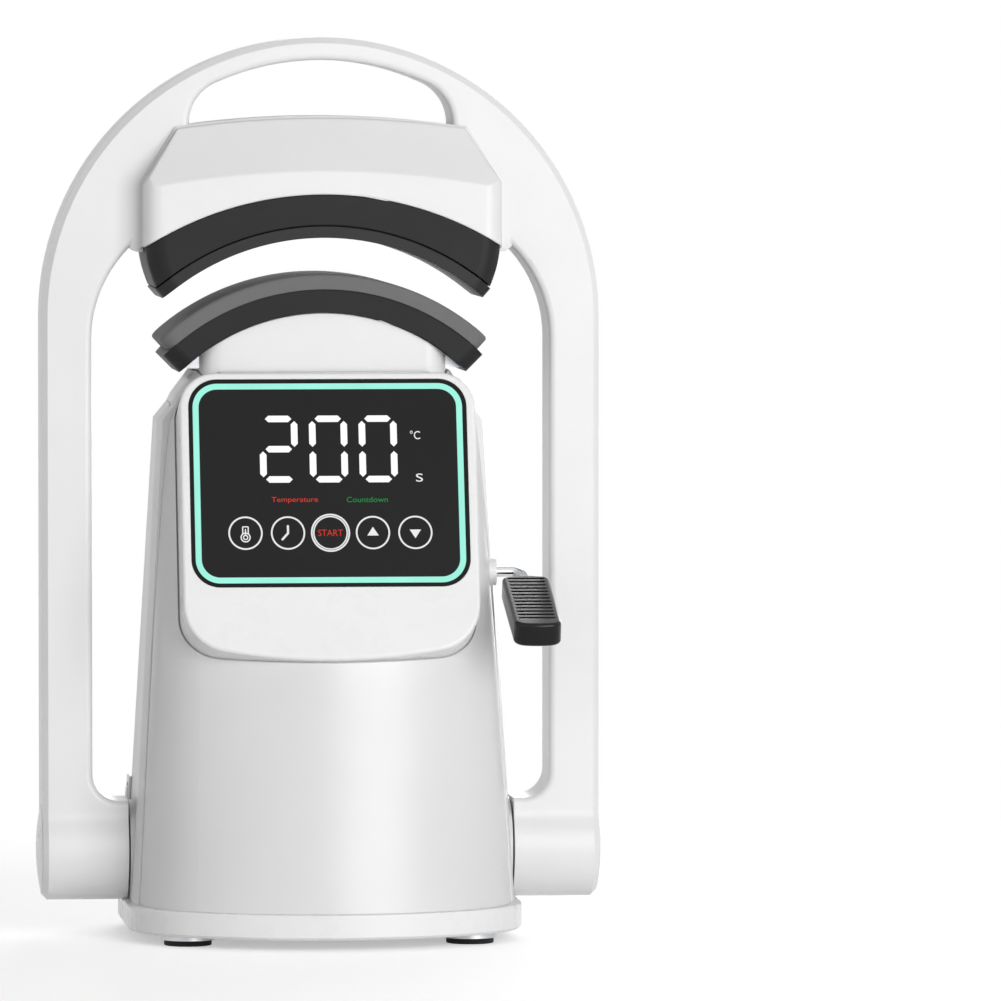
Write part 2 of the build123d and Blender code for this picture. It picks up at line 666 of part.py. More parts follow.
with BuildPart() as lever_shaft:
    with BuildSketch(Plane.YZ.offset(SHAFT_START)):
        with Locations((LEVER_Y, LEVER_Z)):
            Circle(LEVER_SHAFT)
    extrude(amount=SHAFT_END - SHAFT_START)
save(lever_shaft, "lever_shaft")

with BuildPart() as lift_cam:
    with BuildSketch(Plane.YZ.offset(-CAM_HALF_WIDTH)):
        with Locations((LEVER_Y, LEVER_Z)):
            Circle(CAM_HUB)
        with Locations((NOSE_Y, NOSE_Z)):
            Circle(ROLLER_RADIUS)
        with Locations(((LEVER_Y + NOSE_Y) / 2, (LEVER_Z + NOSE_Z) / 2)):
            SlotCenterToCenter(CRANK, CAM_ARM, rotation=-CRANK_SWEEP / 2)
        with Locations((LEVER_Y, LEVER_Z)):
            Circle(LEVER_SHAFT, mode=Mode.SUBTRACT)
    extrude(amount=2 * CAM_HALF_WIDTH)
save(lift_cam, "lift_cam")

HANGER_DROP = 12.0
HANGER_WIDTH = 16.0
with BuildPart() as lever_hanger:
    with BuildSketch(Plane.YZ.offset(HANGER_X)):
        with Locations((LEVER_Y, (UPPER_GUIDE_Z + LEVER_Z - HANGER_DROP) / 2)):
            Rectangle(HANGER_WIDTH, UPPER_GUIDE_Z - LEVER_Z + HANGER_DROP)
        with Locations((LEVER_Y, LEVER_Z)):
            Circle(LEVER_BUSH, mode=Mode.SUBTRACT)
    extrude(amount=FRAME_THICKNESS)
save(lever_hanger, "lever_hanger")

with BuildPart() as lever_bushes:
    for x in (HANGER_X, FRAME_X):
        with BuildSketch(Plane.YZ.offset(x - BUSH_STAND)):
            with Locations((LEVER_Y, LEVER_Z)):
                Circle(LEVER_BUSH)
                Circle(LEVER_SHAFT + RUNNING, mode=Mode.SUBTRACT)
        extrude(amount=FRAME_THICKNESS + 2 * BUSH_STAND)
save(lever_bushes, "lever_bushes")

COLLAR_INNER = 71.5
COLLAR_OUTER = 79.0
with BuildPart() as lever_collar:
    with BuildSketch(Plane.YZ.offset(COLLAR_INNER)):
        with Locations((LEVER_Y, LEVER_Z)):
            Circle(LEVER_COLLAR)
            Circle(LEVER_SHAFT + RUNNING, mode=Mode.SUBTRACT)
    extrude(amount=COLLAR_OUTER - COLLAR_INNER)
save(lever_collar, "lever_collar")

SPRING_WIRE = 0.8
SPRING_RADIUS = LEVER_SHAFT + SEAT_GAP + SPRING_WIRE
SPRING_LENGTH = 18.0
SPRING_PITCH = 2.25
SPRING_X = 30.0
with BuildPart() as lever_spring:
    with BuildLine() as coil:
        Helix(
            pitch=SPRING_PITCH,
            height=SPRING_LENGTH,
            radius=SPRING_RADIUS,
            center=(SPRING_X, LEVER_Y, LEVER_Z),
            direction=(1, 0, 0),
        )
    with BuildSketch(Plane(origin=coil.line @ 0, z_dir=coil.line % 0)):
        Circle(SPRING_WIRE)
    sweep(is_frenet=True)
save(lever_spring, "lever_spring")

SLOPE = radians(GRIP_SLOPE)
GRIP_LENGTH = (GRIP_REAR - GRIP_FRONT) / cos(SLOPE)
GRIP_PLANE = Plane(
    origin=(GRIP_X, GRIP_REAR, GRIP_TOP_REAR), x_dir=(1, 0, 0), z_dir=(0, -sin(SLOPE), cos(SLOPE))
)
ROD_RUN = 34.0          # of the rod inside the grip
ROD_START = 0.5         # where its bend ends, inside the grip's rear end
ROD_BENDS = (5.0, 6.0)
GRIP_MIDDLE = -GRIP_THICKNESS / 2


def grip_point(along):
    """A point on the middle line of the grip, at this distance from its rear end."""
    spot = GRIP_PLANE.from_local_coords((0, -along, GRIP_MIDDLE))
    return (spot.X, spot.Y, spot.Z)


with BuildPart() as lever_rod:
    with BuildLine() as rod_path:
        FilletPolyline(
            (SHAFT_END, LEVER_Y, LEVER_Z),
            (GRIP_X, LEVER_Y, LEVER_Z),
            grip_point(ROD_START),
            grip_point(ROD_RUN),
            radius=ROD_BENDS,
        )
    with BuildSketch(Plane.YZ.offset(SHAFT_END)):
        with Locations((LEVER_Y, LEVER_Z)):
            Circle(LEVER_ROD)
    sweep()
save(lever_rod, "lever_rod")

GRIP_REAR_BOW = 3.0
GRIP_NOSE_BOW = 1.9
GRIP_REAR_CORNER = 4.0
GRIP_NOSE_CORNER = 6.0
GRIP_ROUND = 1.6
GRIP_AXIS = Axis(GRIP_PLANE.origin, GRIP_PLANE.z_dir)
RIB_COUNT = 13
RIB_PITCH = 4.5
RIB_START = 5.5
RIB_GROOVE = (17.0, 2.2)
RIB_DEPTH = 0.8
with BuildPart() as lever_grip:
    with BuildSketch(GRIP_PLANE):
        with BuildLine():
            Line((GRIP_WIDTH / 2, -GRIP_REAR_BOW), (GRIP_WIDTH / 2, -GRIP_LENGTH))
            ThreePointArc(
                (GRIP_WIDTH / 2, -GRIP_LENGTH),
                (0, -GRIP_LENGTH - GRIP_NOSE_BOW),
                (-GRIP_WIDTH / 2, -GRIP_LENGTH),
            )
            Line((-GRIP_WIDTH / 2, -GRIP_LENGTH), (-GRIP_WIDTH / 2, -GRIP_REAR_BOW))
            ThreePointArc(
                (-GRIP_WIDTH / 2, -GRIP_REAR_BOW), (0, 0), (GRIP_WIDTH / 2, -GRIP_REAR_BOW)
            )
        make_face()
        fillet(vertices().sort_by(Axis.Y)[-2:], GRIP_REAR_CORNER)
        fillet(vertices().sort_by(Axis.Y)[:2], GRIP_NOSE_CORNER)
    extrude(amount=-GRIP_THICKNESS)
    fillet(faces().sort_by(GRIP_AXIS)[-1].edges(), GRIP_ROUND)
    fillet(faces().sort_by(GRIP_AXIS)[0].edges(), GRIP_ROUND)
    with BuildSketch(GRIP_PLANE):
        with Locations((0, -RIB_START - RIB_PITCH * (RIB_COUNT - 1) / 2)):
            with GridLocations(0, RIB_PITCH, 1, RIB_COUNT):
                SlotOverall(*RIB_GROOVE)
    extrude(amount=-RIB_DEPTH, mode=Mode.SUBTRACT)
    add(lever_rod.part, mode=Mode.SUBTRACT)
save(lever_grip, "lever_grip")

# --------------------------------------------------------------------------- ram
BASE_OUTER = PAD_RADIUS - SILICONE
BASE_INNER = BASE_OUTER - PAD_BASE
BASE_HALF_ANGLE = PAD_HALF_ANGLE + 2.0
BASE_INSET = 1.0        # of the pad's base behind the silicone, front and back
BASE_CORNER = 8.0
SILICONE_CORNER = 8.0
SILICONE_ROUND = 1.5
SADDLE_RADIUS = BASE_INNER - SEAT_GAP
NECK_WALL = 2.2
NECK_FLOOR = 2.5
SADDLE_WINDOW = 15.5    # half width
SADDLE_PLATE = 3.0
PAD_SCREW_X = 22.5
PAD_SCREW = 2.5
PAD_SCREW_HEAD = 4.5
PAD_SCREW_TOP = 288.0
PAD_BOSS = 5.5
PAD_BOSS_Z = 279.0
ROD_SPIGOT = 3.0
ROD_SPIGOT_TOP = SADDLE_Z + 8.0     # ends of the spigots in the saddle
ROD_CHAMFER = 1.0
PAD_HEAD_HEIGHT = 4.0
PAD_SCREWS = [(-PAD_SCREW_X, 0), (PAD_SCREW_X, 0)]

with BuildPart() as neck:
    with BuildSketch(Plane.XY.offset(NECK_FOOT)):
        RectangleRounded(2 * NECK_HALF_WIDTH, 2 * NECK_HALF_DEPTH, NECK_CORNER)
        RectangleRounded(
            2 * (NECK_HALF_WIDTH - NECK_WALL),
            2 * (NECK_HALF_DEPTH - NECK_WALL),
            NECK_CORNER - NECK_WALL,
            mode=Mode.SUBTRACT,
        )
    extrude(amount=PAD_RADIUS)
    with BuildSketch(Plane.XY.offset(SADDLE_Z)):
        Rectangle(2 * PAD_RADIUS, 2 * (SADDLE_HALF_DEPTH + SEAT_GAP))
        Rectangle(
            2 * (NECK_HALF_WIDTH - NECK_CORNER),
            2 * (SADDLE_HALF_DEPTH + SEAT_GAP),
            mode=Mode.SUBTRACT,
        )
    extrude(amount=PAD_RADIUS, mode=Mode.SUBTRACT)
    with BuildSketch(FRONT):
        with Locations((0, PAD_AXIS_Z)):
            Circle(SADDLE_RADIUS)
    extrude(amount=PAD_RADIUS, both=True, mode=Mode.INTERSECT)
    with BuildSketch(Plane.XY.offset(SADDLE_Z)):
        RectangleRounded(
            2 * (NECK_HALF_WIDTH - NECK_WALL / 2),
            2 * (NECK_HALF_DEPTH - NECK_WALL / 2),
            NECK_CORNER - NECK_WALL / 2,
        )
        with Locations(*RODS):
            Circle(ROD_RADIUS, mode=Mode.SUBTRACT)
        with Locations(*PAD_SCREWS):
            Circle(PAD_BOSS, mode=Mode.SUBTRACT)
    extrude(amount=-NECK_FLOOR)
save(neck, "neck")

with BuildPart() as saddle:
    with BuildSketch(FRONT):
        with Locations((0, PAD_AXIS_Z)):
            Circle(SADDLE_RADIUS)
        with Locations((0, SADDLE_Z)):
            Rectangle(
                2 * SADDLE_RADIUS,
                SADDLE_RADIUS,
                align=(Align.CENTER, Align.MIN),
                mode=Mode.INTERSECT,
            )
    extrude(amount=SADDLE_HALF_DEPTH, both=True)
    with BuildSketch(FRONT):
        with Locations((0, PAD_AXIS_Z)):
            Circle(SADDLE_RADIUS - SADDLE_PLATE)
        with Locations((0, SADDLE_Z + SADDLE_PLATE)):
            Rectangle(
                2 * SADDLE_WINDOW,
                SADDLE_RADIUS,
                align=(Align.CENTER, Align.MIN),
                mode=Mode.INTERSECT,
            )
    extrude(amount=SADDLE_HALF_DEPTH, both=True, mode=Mode.SUBTRACT)
    with Locations(*[(x, y, PAD_BOSS_Z) for x, y in PAD_SCREWS]):
        Hole(PAD_SCREW)
    with BuildSketch(Plane.XY.offset(PAD_BOSS_Z)):
        with Locations(*PAD_SCREWS):
            Circle(PAD_BOSS)
    extrude(amount=PAD_BASE, mode=Mode.SUBTRACT)
    with BuildSketch(Plane.XY.offset(SADDLE_Z)):
        with Locations(*RODS):
            Circle(ROD_SPIGOT)
    extrude(amount=ROD_SPIGOT_TOP - SADDLE_Z, mode=Mode.SUBTRACT)
save(saddle, "saddle")

with BuildPart() as pad_base:
    with BuildSketch(FRONT):
        make_face(ring_sector(PAD_AXIS_Z, BASE_INNER, BASE_OUTER, BASE_HALF_ANGLE))
    extrude(amount=PAD_HALF_DEPTH - BASE_INSET, both=True)
    ends = faces().sort_by(Axis.X)[0].edges() + faces().sort_by(Axis.X)[-1].edges()
    fillet(ends.filter_by(Axis.Y, reverse=True), BASE_CORNER)
    with BuildSketch(Plane.XY.offset(PAD_BOSS_Z)):
        with Locations(*PAD_SCREWS):
            Circle(PAD_BOSS)
    extrude(amount=PAD_BASE / 2)
    with BuildSketch(Plane.XY.offset(PAD_BOSS_Z)):
        with Locations(*PAD_SCREWS):
            Circle(PAD_SCREW)
    extrude(amount=PAD_SCREW_TOP - PAD_BOSS_Z, mode=Mode.SUBTRACT)
save(pad_base, "pad_base")

with BuildPart() as pad_silicone:
    with BuildSketch(FRONT):
        make_face(ring_sector(PAD_AXIS_Z, BASE_OUTER, PAD_RADIUS, PAD_HALF_ANGLE))
    extrude(amount=PAD_HALF_DEPTH, both=True)
    ends = faces().sort_by(Axis.X)[0].edges() + faces().sort_by(Axis.X)[-1].edges()
    fillet(ends.filter_by(Axis.Y, reverse=True), SILICONE_CORNER)
    fillet(faces().sort_by(Axis.Z)[-1].edges(), SILICONE_ROUND)
save(pad_silicone, "pad_silicone")

with BuildPart() as pad_screws:
    with BuildSketch(Plane.XY.offset(SADDLE_Z)):
        with Locations(*PAD_SCREWS):
            Circle(PAD_SCREW)
    extrude(amount=PAD_SCREW_TOP - SADDLE_Z)
    with BuildSketch(Plane.XY.offset(SADDLE_Z)):
        with Locations(*PAD_SCREWS):
            Circle(PAD_SCREW_HEAD)
    extrude(amount=-PAD_HEAD_HEIGHT)
save(pad_screws, "pad_screws")

with BuildPart() as ram_rods:
    with BuildSketch(Plane.XY.offset(ROD_FOOT)):
        with Locations(*RODS):
            Circle(ROD_RADIUS)
    extrude(amount=SADDLE_Z - ROD_FOOT)
    chamfer(edges().group_by(Axis.Z)[0], ROD_CHAMFER)
    with BuildSketch(Plane.XY.offset(SADDLE_Z)):
        with Locations(*RODS):
            Circle(ROD_SPIGOT)
    extrude(amount=ROD_SPIGOT_TOP - SADDLE_Z)
save(ram_rods, "ram_rods")

CROSSHEAD = (92.0, 26.0, 6.0)       # width, depth and corner radius
CROSSHEAD_THICKNESS = 8.0
CROSSHEAD_Z = NOSE_Z + ROLLER_RADIUS + SEAT_GAP
with BuildPart() as crosshead:
    with BuildSketch(Plane.XY.offset(CROSSHEAD_Z)):
        RectangleRounded(*CROSSHEAD)
        with Locations(*RODS):
            Circle(ROD_RADIUS, mode=Mode.SUBTRACT)
    extrude(amount=CROSSHEAD_THICKNESS)
save(crosshead, "crosshead")

# --------------------------------------------------------------------------- arch
BLEND = 10.0            # where the arms widen into the pivot bosses
ARCH_SHIELD = SHIELD_RADIUS + SEAT_GAP
HEAD_GAP_X = SHIELD_HALF_TOP + SEAT_GAP
CORNER_X = ARCH_HALF_WIDTH - ARM_WIDTH - WINDOW_CORNER
CORNER_Z = WINDOW_TOP - WINDOW_CORNER
BOSS_TOP = PIVOT_Z + BOSS_RADIUS
HANDLE_FOOT_CORNER = 8.0
# X and Z of the small lugs that bridge the arch and the head
LUG = [(81.1, 312.3), (84.3, 312.3), (87.1, 314.4), (86.0, 321.0), (81.1, 323.0)]


def arch_face(inset):
    """The arch seen from the front, with its material shrunk by the inset."""
    width = ARCH_HALF_WIDTH - inset
    window = ARCH_HALF_WIDTH - ARM_WIDTH + inset
    with BuildSketch(FRONT) as handle:
        with Locations((0, ARCH_AXIS_Z)):
            Circle(ARCH_HALF_WIDTH - BAR_THICKNESS + inset)
        with Locations((0, HANDLE_SILL - inset)):
            Rectangle(
                2 * (HANDLE_HALF_WIDTH + inset),
                ARCH_HALF_WIDTH,
                align=(Align.CENTER, Align.MIN),
                mode=Mode.INTERSECT,
            )
        fillet(vertices().group_by(Axis.Y)[-1], HANDLE_CORNER)
        fillet(vertices().group_by(Axis.Y)[0], HANDLE_FOOT_CORNER)
    with BuildSketch(FRONT) as opening:
        with Locations((0, BOSS_TOP - inset)):
            Rectangle(2 * window, CORNER_Z - BOSS_TOP + inset, align=(Align.CENTER, Align.MIN))
        fillet(vertices().group_by(Axis.Y)[0], WINDOW_FOOT + inset)
        with Locations((-CORNER_X, CORNER_Z), (CORNER_X, CORNER_Z)):
            Circle(WINDOW_CORNER + inset)
        with Locations((0, CORNER_Z)):
            Rectangle(2 * CORNER_X, WINDOW_CORNER, align=(Align.CENTER, Align.MIN))
        with Locations((0, 0)):
            Rectangle(2 * (BOSS_INNER_X + inset), 2 * BOSS_TOP, align=(Align.CENTER, Align.MIN))
    with BuildSketch(FRONT) as under_head:
        with Locations((0, CORNER_Z)):
            Rectangle(2 * (HEAD_GAP_X - inset), ARCH_HALF_WIDTH / 2, align=(Align.CENTER, Align.MIN))
        with Locations((0, SHIELD_AXIS_Z)):
            Circle(ARCH_SHIELD + inset, mode=Mode.SUBTRACT)
    with BuildSketch(FRONT) as face:
        with Locations((0, ARCH_AXIS_Z)):
            Circle(width)
        Rectangle(2 * width, ARCH_AXIS_Z, align=(Align.CENTER, Align.MIN))
        add(opening.sketch_local, mode=Mode.SUBTRACT)
        with BuildSketch(FRONT) as throat:
            with Locations((0, SHIELD_AXIS_Z)):
                Circle(ARCH_SHIELD + inset)
            with Locations((0, CORNER_Z)):
                Rectangle(
                    2 * HEAD_GAP_X,
                    ARCH_HALF_WIDTH,
                    align=(Align.CENTER, Align.MIN),
                    mode=Mode.INTERSECT,
                )
        add(throat.sketch_local, mode=Mode.SUBTRACT)
        add(under_head.sketch_local)
        if inset == 0:
            for side in PIVOT_SIDES:
                Polygon(*[(side * x, z) for x, z in LUG], align=None)
        add(handle.sketch_local, mode=Mode.SUBTRACT)
    return face.sketch


def arm_profile(inset):
    """The arms and the pivot bosses seen from the side, with their material shrunk."""
    with BuildSketch(Plane.YZ) as profile:
        with Locations((0, PIVOT_Z)):
            Rectangle(ARCH_DEPTH - 2 * inset, 2 * ARCH_AXIS_Z, align=(Align.CENTER, Align.MIN))
            Circle(BOSS_RADIUS - inset)
        waist = vertices().filter_by(lambda v: PIVOT_Z < v.Y < PIVOT_Z + BOSS_RADIUS)
        fillet(waist, BLEND + inset)
    return profile.sketch


def arch_block(inset):
    """The arch as one solid, with its material shrunk by the inset."""
    with BuildPart() as block:
        extrude(arch_face(inset), amount=ARCH_DEPTH, both=True)
        extrude(arm_profile(inset), amount=2 * ARCH_HALF_WIDTH, both=True, mode=Mode.INTERSECT)
    return block.part


CAP_FIT = 0.2
CAP_RADIUS = BOSS_RADIUS - ARCH_BEVEL - CAP_FIT
CAP_HOLE = 17.3
SHAFT_HOLE = PIVOT_SHAFT + 2 * SEAT_GAP
RIB_INNER = HUB_RADIUS + SEAT_GAP
RIB_THICKNESS = 2.0
RIB_PLACES = (94.0, 114.5)
POST_RADIUS = 4.2
POST_X = 119.2
ARM_POSTS = [(POST_X, 95), (POST_X, 185), (POST_X - 1, 265), (80, 369)]
POSTS = [(side * x, z) for side in PIVOT_SIDES for x, z in ARM_POSTS]
ARCH_SCREW = 1.4
ARCH_SCREW_TIP = 12.0
SCREW_HEAD = 2.8
HEAD_POCKET = 9.0
HEAD_HEIGHT = 2.4
HOOD_SCREWS = [(-62, 333), (62, 333), (-40, 346), (40, 346)]
HOOD_SCREW = 1.6
BOLT_X = 35.0
BOLT_RADIUS = 3.0
CROSSBAR_Z = 344.5

with BuildPart() as arch:
    add(arch_block(0.0))
    corners = edges().filter_by(lambda e: abs(abs(e.center().Y) - ARCH_DEPTH / 2) < 0.01)
    outer_rim = corners.filter_by(lambda e: abs(e.center().X) > ARCH_HALF_WIDTH - 0.01)
    chamfer(outer_rim, ARCH_BEVEL)
    corners = edges().filter_by(lambda e: abs(abs(e.center().Y) - ARCH_DEPTH / 2) < 0.01)
    window_rim = corners.filter_by(
        lambda e: abs(abs(e.center().X) - ARCH_HALF_WIDTH + ARM_WIDTH) < 0.01
    )
    handle_rim = corners.filter_by(lambda e: abs(e.center().Z - HANDLE_SILL) < 0.01)
    fillet(window_rim + handle_rim, ARCH_ROUND)
    add(arch_block(WALL), mode=Mode.SUBTRACT)
    # rings that hold the steel hubs in the pivot bosses
    for x in RIB_PLACES:
        for side in PIVOT_SIDES:
            with BuildSketch(Plane.YZ.offset(side * x)):
                with Locations((0, PIVOT_Z)):
                    Circle(BOSS_RADIUS - WALL / 2)
                    Circle(RIB_INNER, mode=Mode.SUBTRACT)
            extrude(amount=side * RIB_THICKNESS)
    # posts of the screws, then the bores
    with BuildSketch(FRONT):
        with Locations(*POSTS):
            Circle(POST_RADIUS)
    extrude(amount=ARCH_DEPTH / 2 - WALL / 2, both=True)
    with BuildSketch(FRONT.offset(ARCH_SCREW_TIP)):
        with Locations(*POSTS):
            Circle(ARCH_SCREW)
    extrude(amount=-ARCH_DEPTH, mode=Mode.SUBTRACT)
    with BuildSketch(FRONT.offset(-ARCH_DEPTH / 2)):
        with Locations(*POSTS):
            Circle(SCREW_HEAD)
    extrude(amount=HEAD_POCKET, mode=Mode.SUBTRACT)
    with BuildSketch(FRONT):
        with Locations(*HOOD_SCREWS):
            Circle(HOOD_SCREW)
    extrude(amount=ARCH_DEPTH, both=True, mode=Mode.SUBTRACT)
    for side in PIVOT_SIDES:
        with BuildSketch(Plane.YZ.offset(side * (BOSS_INNER_X - 1))):
            with Locations((0, PIVOT_Z)):
                Circle(SHAFT_HOLE)
        extrude(amount=side * 2 * WALL, mode=Mode.SUBTRACT)
        with BuildSketch(Plane.YZ.offset(side * (ARCH_HALF_WIDTH + 1))):
            with Locations((0, PIVOT_Z)):
                Circle(CAP_HOLE)
        extrude(amount=-side * 2 * WALL, mode=Mode.SUBTRACT)
        with BuildSketch(Plane.XY.offset(SHIELD_AXIS_Z)):
            with Locations((side * BOLT_X, 0)):
                Circle(BOLT_RADIUS + SEAT_GAP)
        extrude(amount=CROSSBAR_Z - SHIELD_AXIS_Z, mode=Mode.SUBTRACT)

with BuildPart() as arch_front:
    add(arch.part)
    split(bisect_by=Plane.XZ, keep=Keep.TOP)
save(arch_front, "arch_front")

with BuildPart() as arch_rear:
    add(arch.part)
    split(bisect_by=Plane.XZ, keep=Keep.BOTTOM)
save(arch_rear, "arch_rear")

with BuildPart() as arch_screws:
    with BuildSketch(FRONT.offset(ARCH_SCREW_TIP)):
        with Locations(*POSTS):
            Circle(ARCH_SCREW)
    extrude(amount=HEAD_POCKET - ARCH_DEPTH / 2 - ARCH_SCREW_TIP)
    with BuildSketch(FRONT.offset(HEAD_POCKET - ARCH_DEPTH / 2)):
        with Locations(*POSTS):
            Circle(SCREW_HEAD - RUNNING)
    extrude(amount=-HEAD_HEIGHT)
save(arch_screws, "arch_screws")

with BuildPart() as boss_caps:
    for side in PIVOT_SIDES:
        with BuildSketch(Plane.XZ):
            with BuildLine():
                Polyline(
                    (side * ARCH_HALF_WIDTH, PIVOT_Z + CAP_RADIUS),
                    (side * ARCH_HALF_WIDTH, PIVOT_Z + CAP_HOLE),
                    (side * (ARCH_HALF_WIDTH - WALL), PIVOT_Z + CAP_HOLE),
                    (side * (ARCH_HALF_WIDTH - WALL), PIVOT_Z),
                    (side * (ARCH_HALF_WIDTH + CAP_RISE), PIVOT_Z),
                )
                RadiusArc(
                    (side * (ARCH_HALF_WIDTH + CAP_RISE), PIVOT_Z),
                    (side * ARCH_HALF_WIDTH, PIVOT_Z + CAP_RADIUS),
                    -side * (CAP_RADIUS**2 + CAP_RISE**2) / (2 * CAP_RISE),
                )
            make_face()
        revolve(axis=Axis((0, 0, PIVOT_Z), (1, 0, 0)))
save(boss_caps, "boss_caps")

# steel frame inside the arch
BAR_X = 109.8
BAR_KNEE_Z = 298.0
BAR_TOP_X = 96.0
BAR_THICK = 5.0
BAR_BEND = 30.0
BAR_HALF_DEPTH = 8.0
CROSSBAR_THICKNESS = 6.0
CROSSBAR_HALF_DEPTH = 10.0
HUB_INNER_X = 92.0
HUB_OUTER_X = 118.0
with BuildPart() as arch_frame:
    with BuildSketch(FRONT) as bars:
        for side in PIVOT_SIDES:
            with BuildLine():
                FilletPolyline(
                    (side * BAR_X, PIVOT_Z),
                    (side * BAR_X, BAR_KNEE_Z),
                    (side * BAR_TOP_X, CROSSBAR_Z + CROSSBAR_THICKNESS / 2),
                    radius=BAR_BEND,
                )
                offset(amount=BAR_THICK / 2, side=Side.BOTH)
            make_face()
    extrude(amount=BAR_HALF_DEPTH, both=True)
    with BuildSketch(FRONT):
        with Locations((0, CROSSBAR_Z)):
            Rectangle(2 * BAR_TOP_X + BAR_THICK, CROSSBAR_THICKNESS, align=(Align.CENTER, Align.MIN))
    extrude(amount=CROSSBAR_HALF_DEPTH, both=True)
    for side in PIVOT_SIDES:
        with BuildSketch(Plane.YZ.offset(side * HUB_INNER_X)):
            with Locations((0, PIVOT_Z)):
                Circle(HUB_RADIUS)
        extrude(amount=side * (HUB_OUTER_X - HUB_INNER_X))
        with BuildSketch(Plane.YZ.offset(side * HUB_INNER_X)):
            with Locations((0, PIVOT_Z)):
                Circle(PIVOT_BUSH)
        extrude(amount=side * (HUB_OUTER_X - HUB_INNER_X), mode=Mode.SUBTRACT)
        with BuildSketch(Plane.XY.offset(CROSSBAR_Z)):
            with Locations((side * BOLT_X, 0)):
                Circle(BOLT_RADIUS)
        extrude(amount=CROSSBAR_THICKNESS, mode=Mode.SUBTRACT)
save(arch_frame, "arch_frame")

with BuildPart() as pivot_bushes:
    for side in PIVOT_SIDES:
        with BuildSketch(Plane.YZ.offset(side * HUB_INNER_X)):
            with Locations((0, PIVOT_Z)):
                Circle(PIVOT_BUSH)
                Circle(PIVOT_SHAFT + RUNNING, mode=Mode.SUBTRACT)
        extrude(amount=side * (HUB_OUTER_X - HUB_INNER_X))
save(pivot_bushes, "pivot_bushes")

# --------------------------------------------------------------------------- head
HOOD_GAP = 0.2
HOOD_BACK = ARCH_DEPTH / 2 + HOOD_GAP
HOOD_FRONT = 37.2
HOOD_RIDGE = 20.5       # |Y| where the sloping top ends
HOOD_CORNER = 8.0
HOOD_WALL = 2.2
HOOD_LIP = 1.1          # step at the back, round the outline
HOOD_LIP_DEPTH = 1.2
HOOD_POST = 3.6
HOOD_SCREW_TIP = 28.0
HOOD_TILT = atan2(HOOD_FRONT - HOOD_RIDGE, HOOD_TOP - HOOD_CREASE)
HOOD_SHOULDER_TOP = 369.2


def hood_block(inset, step):
    """The front hood as one solid, shrunk by the inset except at its open back.

    The step shrinks the outline alone, and leaves the front and the edge along the heat shield.
    """
    narrow = inset + step
    crease_z = HOOD_CREASE - inset * tan(HOOD_TILT / 2)
    ridge_y = HOOD_RIDGE - inset * tan((pi / 2 - HOOD_TILT) / 2) + step * tan(HOOD_TILT)
    with BuildPart() as block:
        with BuildSketch(FRONT.offset(HOOD_BACK)):
            with BuildLine():
                Polyline(
                    (narrow - HOOD_HALF_WIDTH, SHIELD_AXIS_Z),
                    (narrow - HOOD_HALF_WIDTH, HOOD_SHOULDER_Z - narrow / 2),
                    (narrow - HOOD_SHOULDER_X, HOOD_SHOULDER_TOP - narrow / 2),
                    (narrow - HOOD_SHOULDER_X, HOOD_TOP),
                    (HOOD_SHOULDER_X - narrow, HOOD_TOP),
                    (HOOD_SHOULDER_X - narrow, HOOD_SHOULDER_TOP - narrow / 2),
                    (HOOD_HALF_WIDTH - narrow, HOOD_SHOULDER_Z - narrow / 2),
                    (HOOD_HALF_WIDTH - narrow, SHIELD_AXIS_Z),
                    close=True,
                )
            make_face()
            with Locations((0, SHIELD_AXIS_Z)):
                Circle(ARCH_SHIELD + inset, mode=Mode.SUBTRACT)
        extrude(amount=HOOD_FRONT - HOOD_BACK - inset)
        front_corners = edges().filter_by(Axis.Z).filter_by(
            lambda e: e.center().Y < inset - HOOD_FRONT + 0.01 and abs(e.center().X) > HOOD_SHOULDER_X
        )
        fillet(front_corners, HOOD_CORNER - inset)
        with BuildSketch(Plane.YZ):
            with BuildLine():
                Polyline(
                    (-HOOD_BACK, SHIELD_AXIS_Z),
                    (inset - HOOD_FRONT, SHIELD_AXIS_Z),
                    (inset - HOOD_FRONT, crease_z),
                    (-ridge_y, HOOD_TOP - narrow),
                    (-HOOD_BACK, HOOD_TOP - narrow),
                    close=True,
                )
            make_face()
        revolve(axis=Axis((0, 0, HOOD_TOP - HOOD_ARC), (0, 1, 0)), mode=Mode.INTERSECT)
    return block.part


with BuildPart() as hood_front:
    add(hood_block(0.0, 0.0))
    split(bisect_by=FRONT.offset(HOOD_BACK + HOOD_LIP_DEPTH), keep=Keep.BOTTOM)
    add(hood_block(0.0, HOOD_LIP))
    add(hood_block(HOOD_WALL, HOOD_LIP), mode=Mode.SUBTRACT)
    with BuildSketch(FRONT.offset(HOOD_BACK)):
        with Locations(*HOOD_SCREWS):
            Circle(HOOD_POST)
    extrude(amount=HOOD_FRONT - HOOD_WALL - HOOD_BACK)
    with BuildSketch(FRONT.offset(HOOD_BACK)):
        with Locations(*HOOD_SCREWS):
            Circle(HOOD_SCREW)
    extrude(amount=HOOD_SCREW_TIP - HOOD_BACK, mode=Mode.SUBTRACT)
save(hood_front, "hood_front")

with BuildPart() as hood_rear:
    add(hood_front.part)
    mirror(about=Plane.XZ, mode=Mode.REPLACE)
save(hood_rear, "hood_rear")

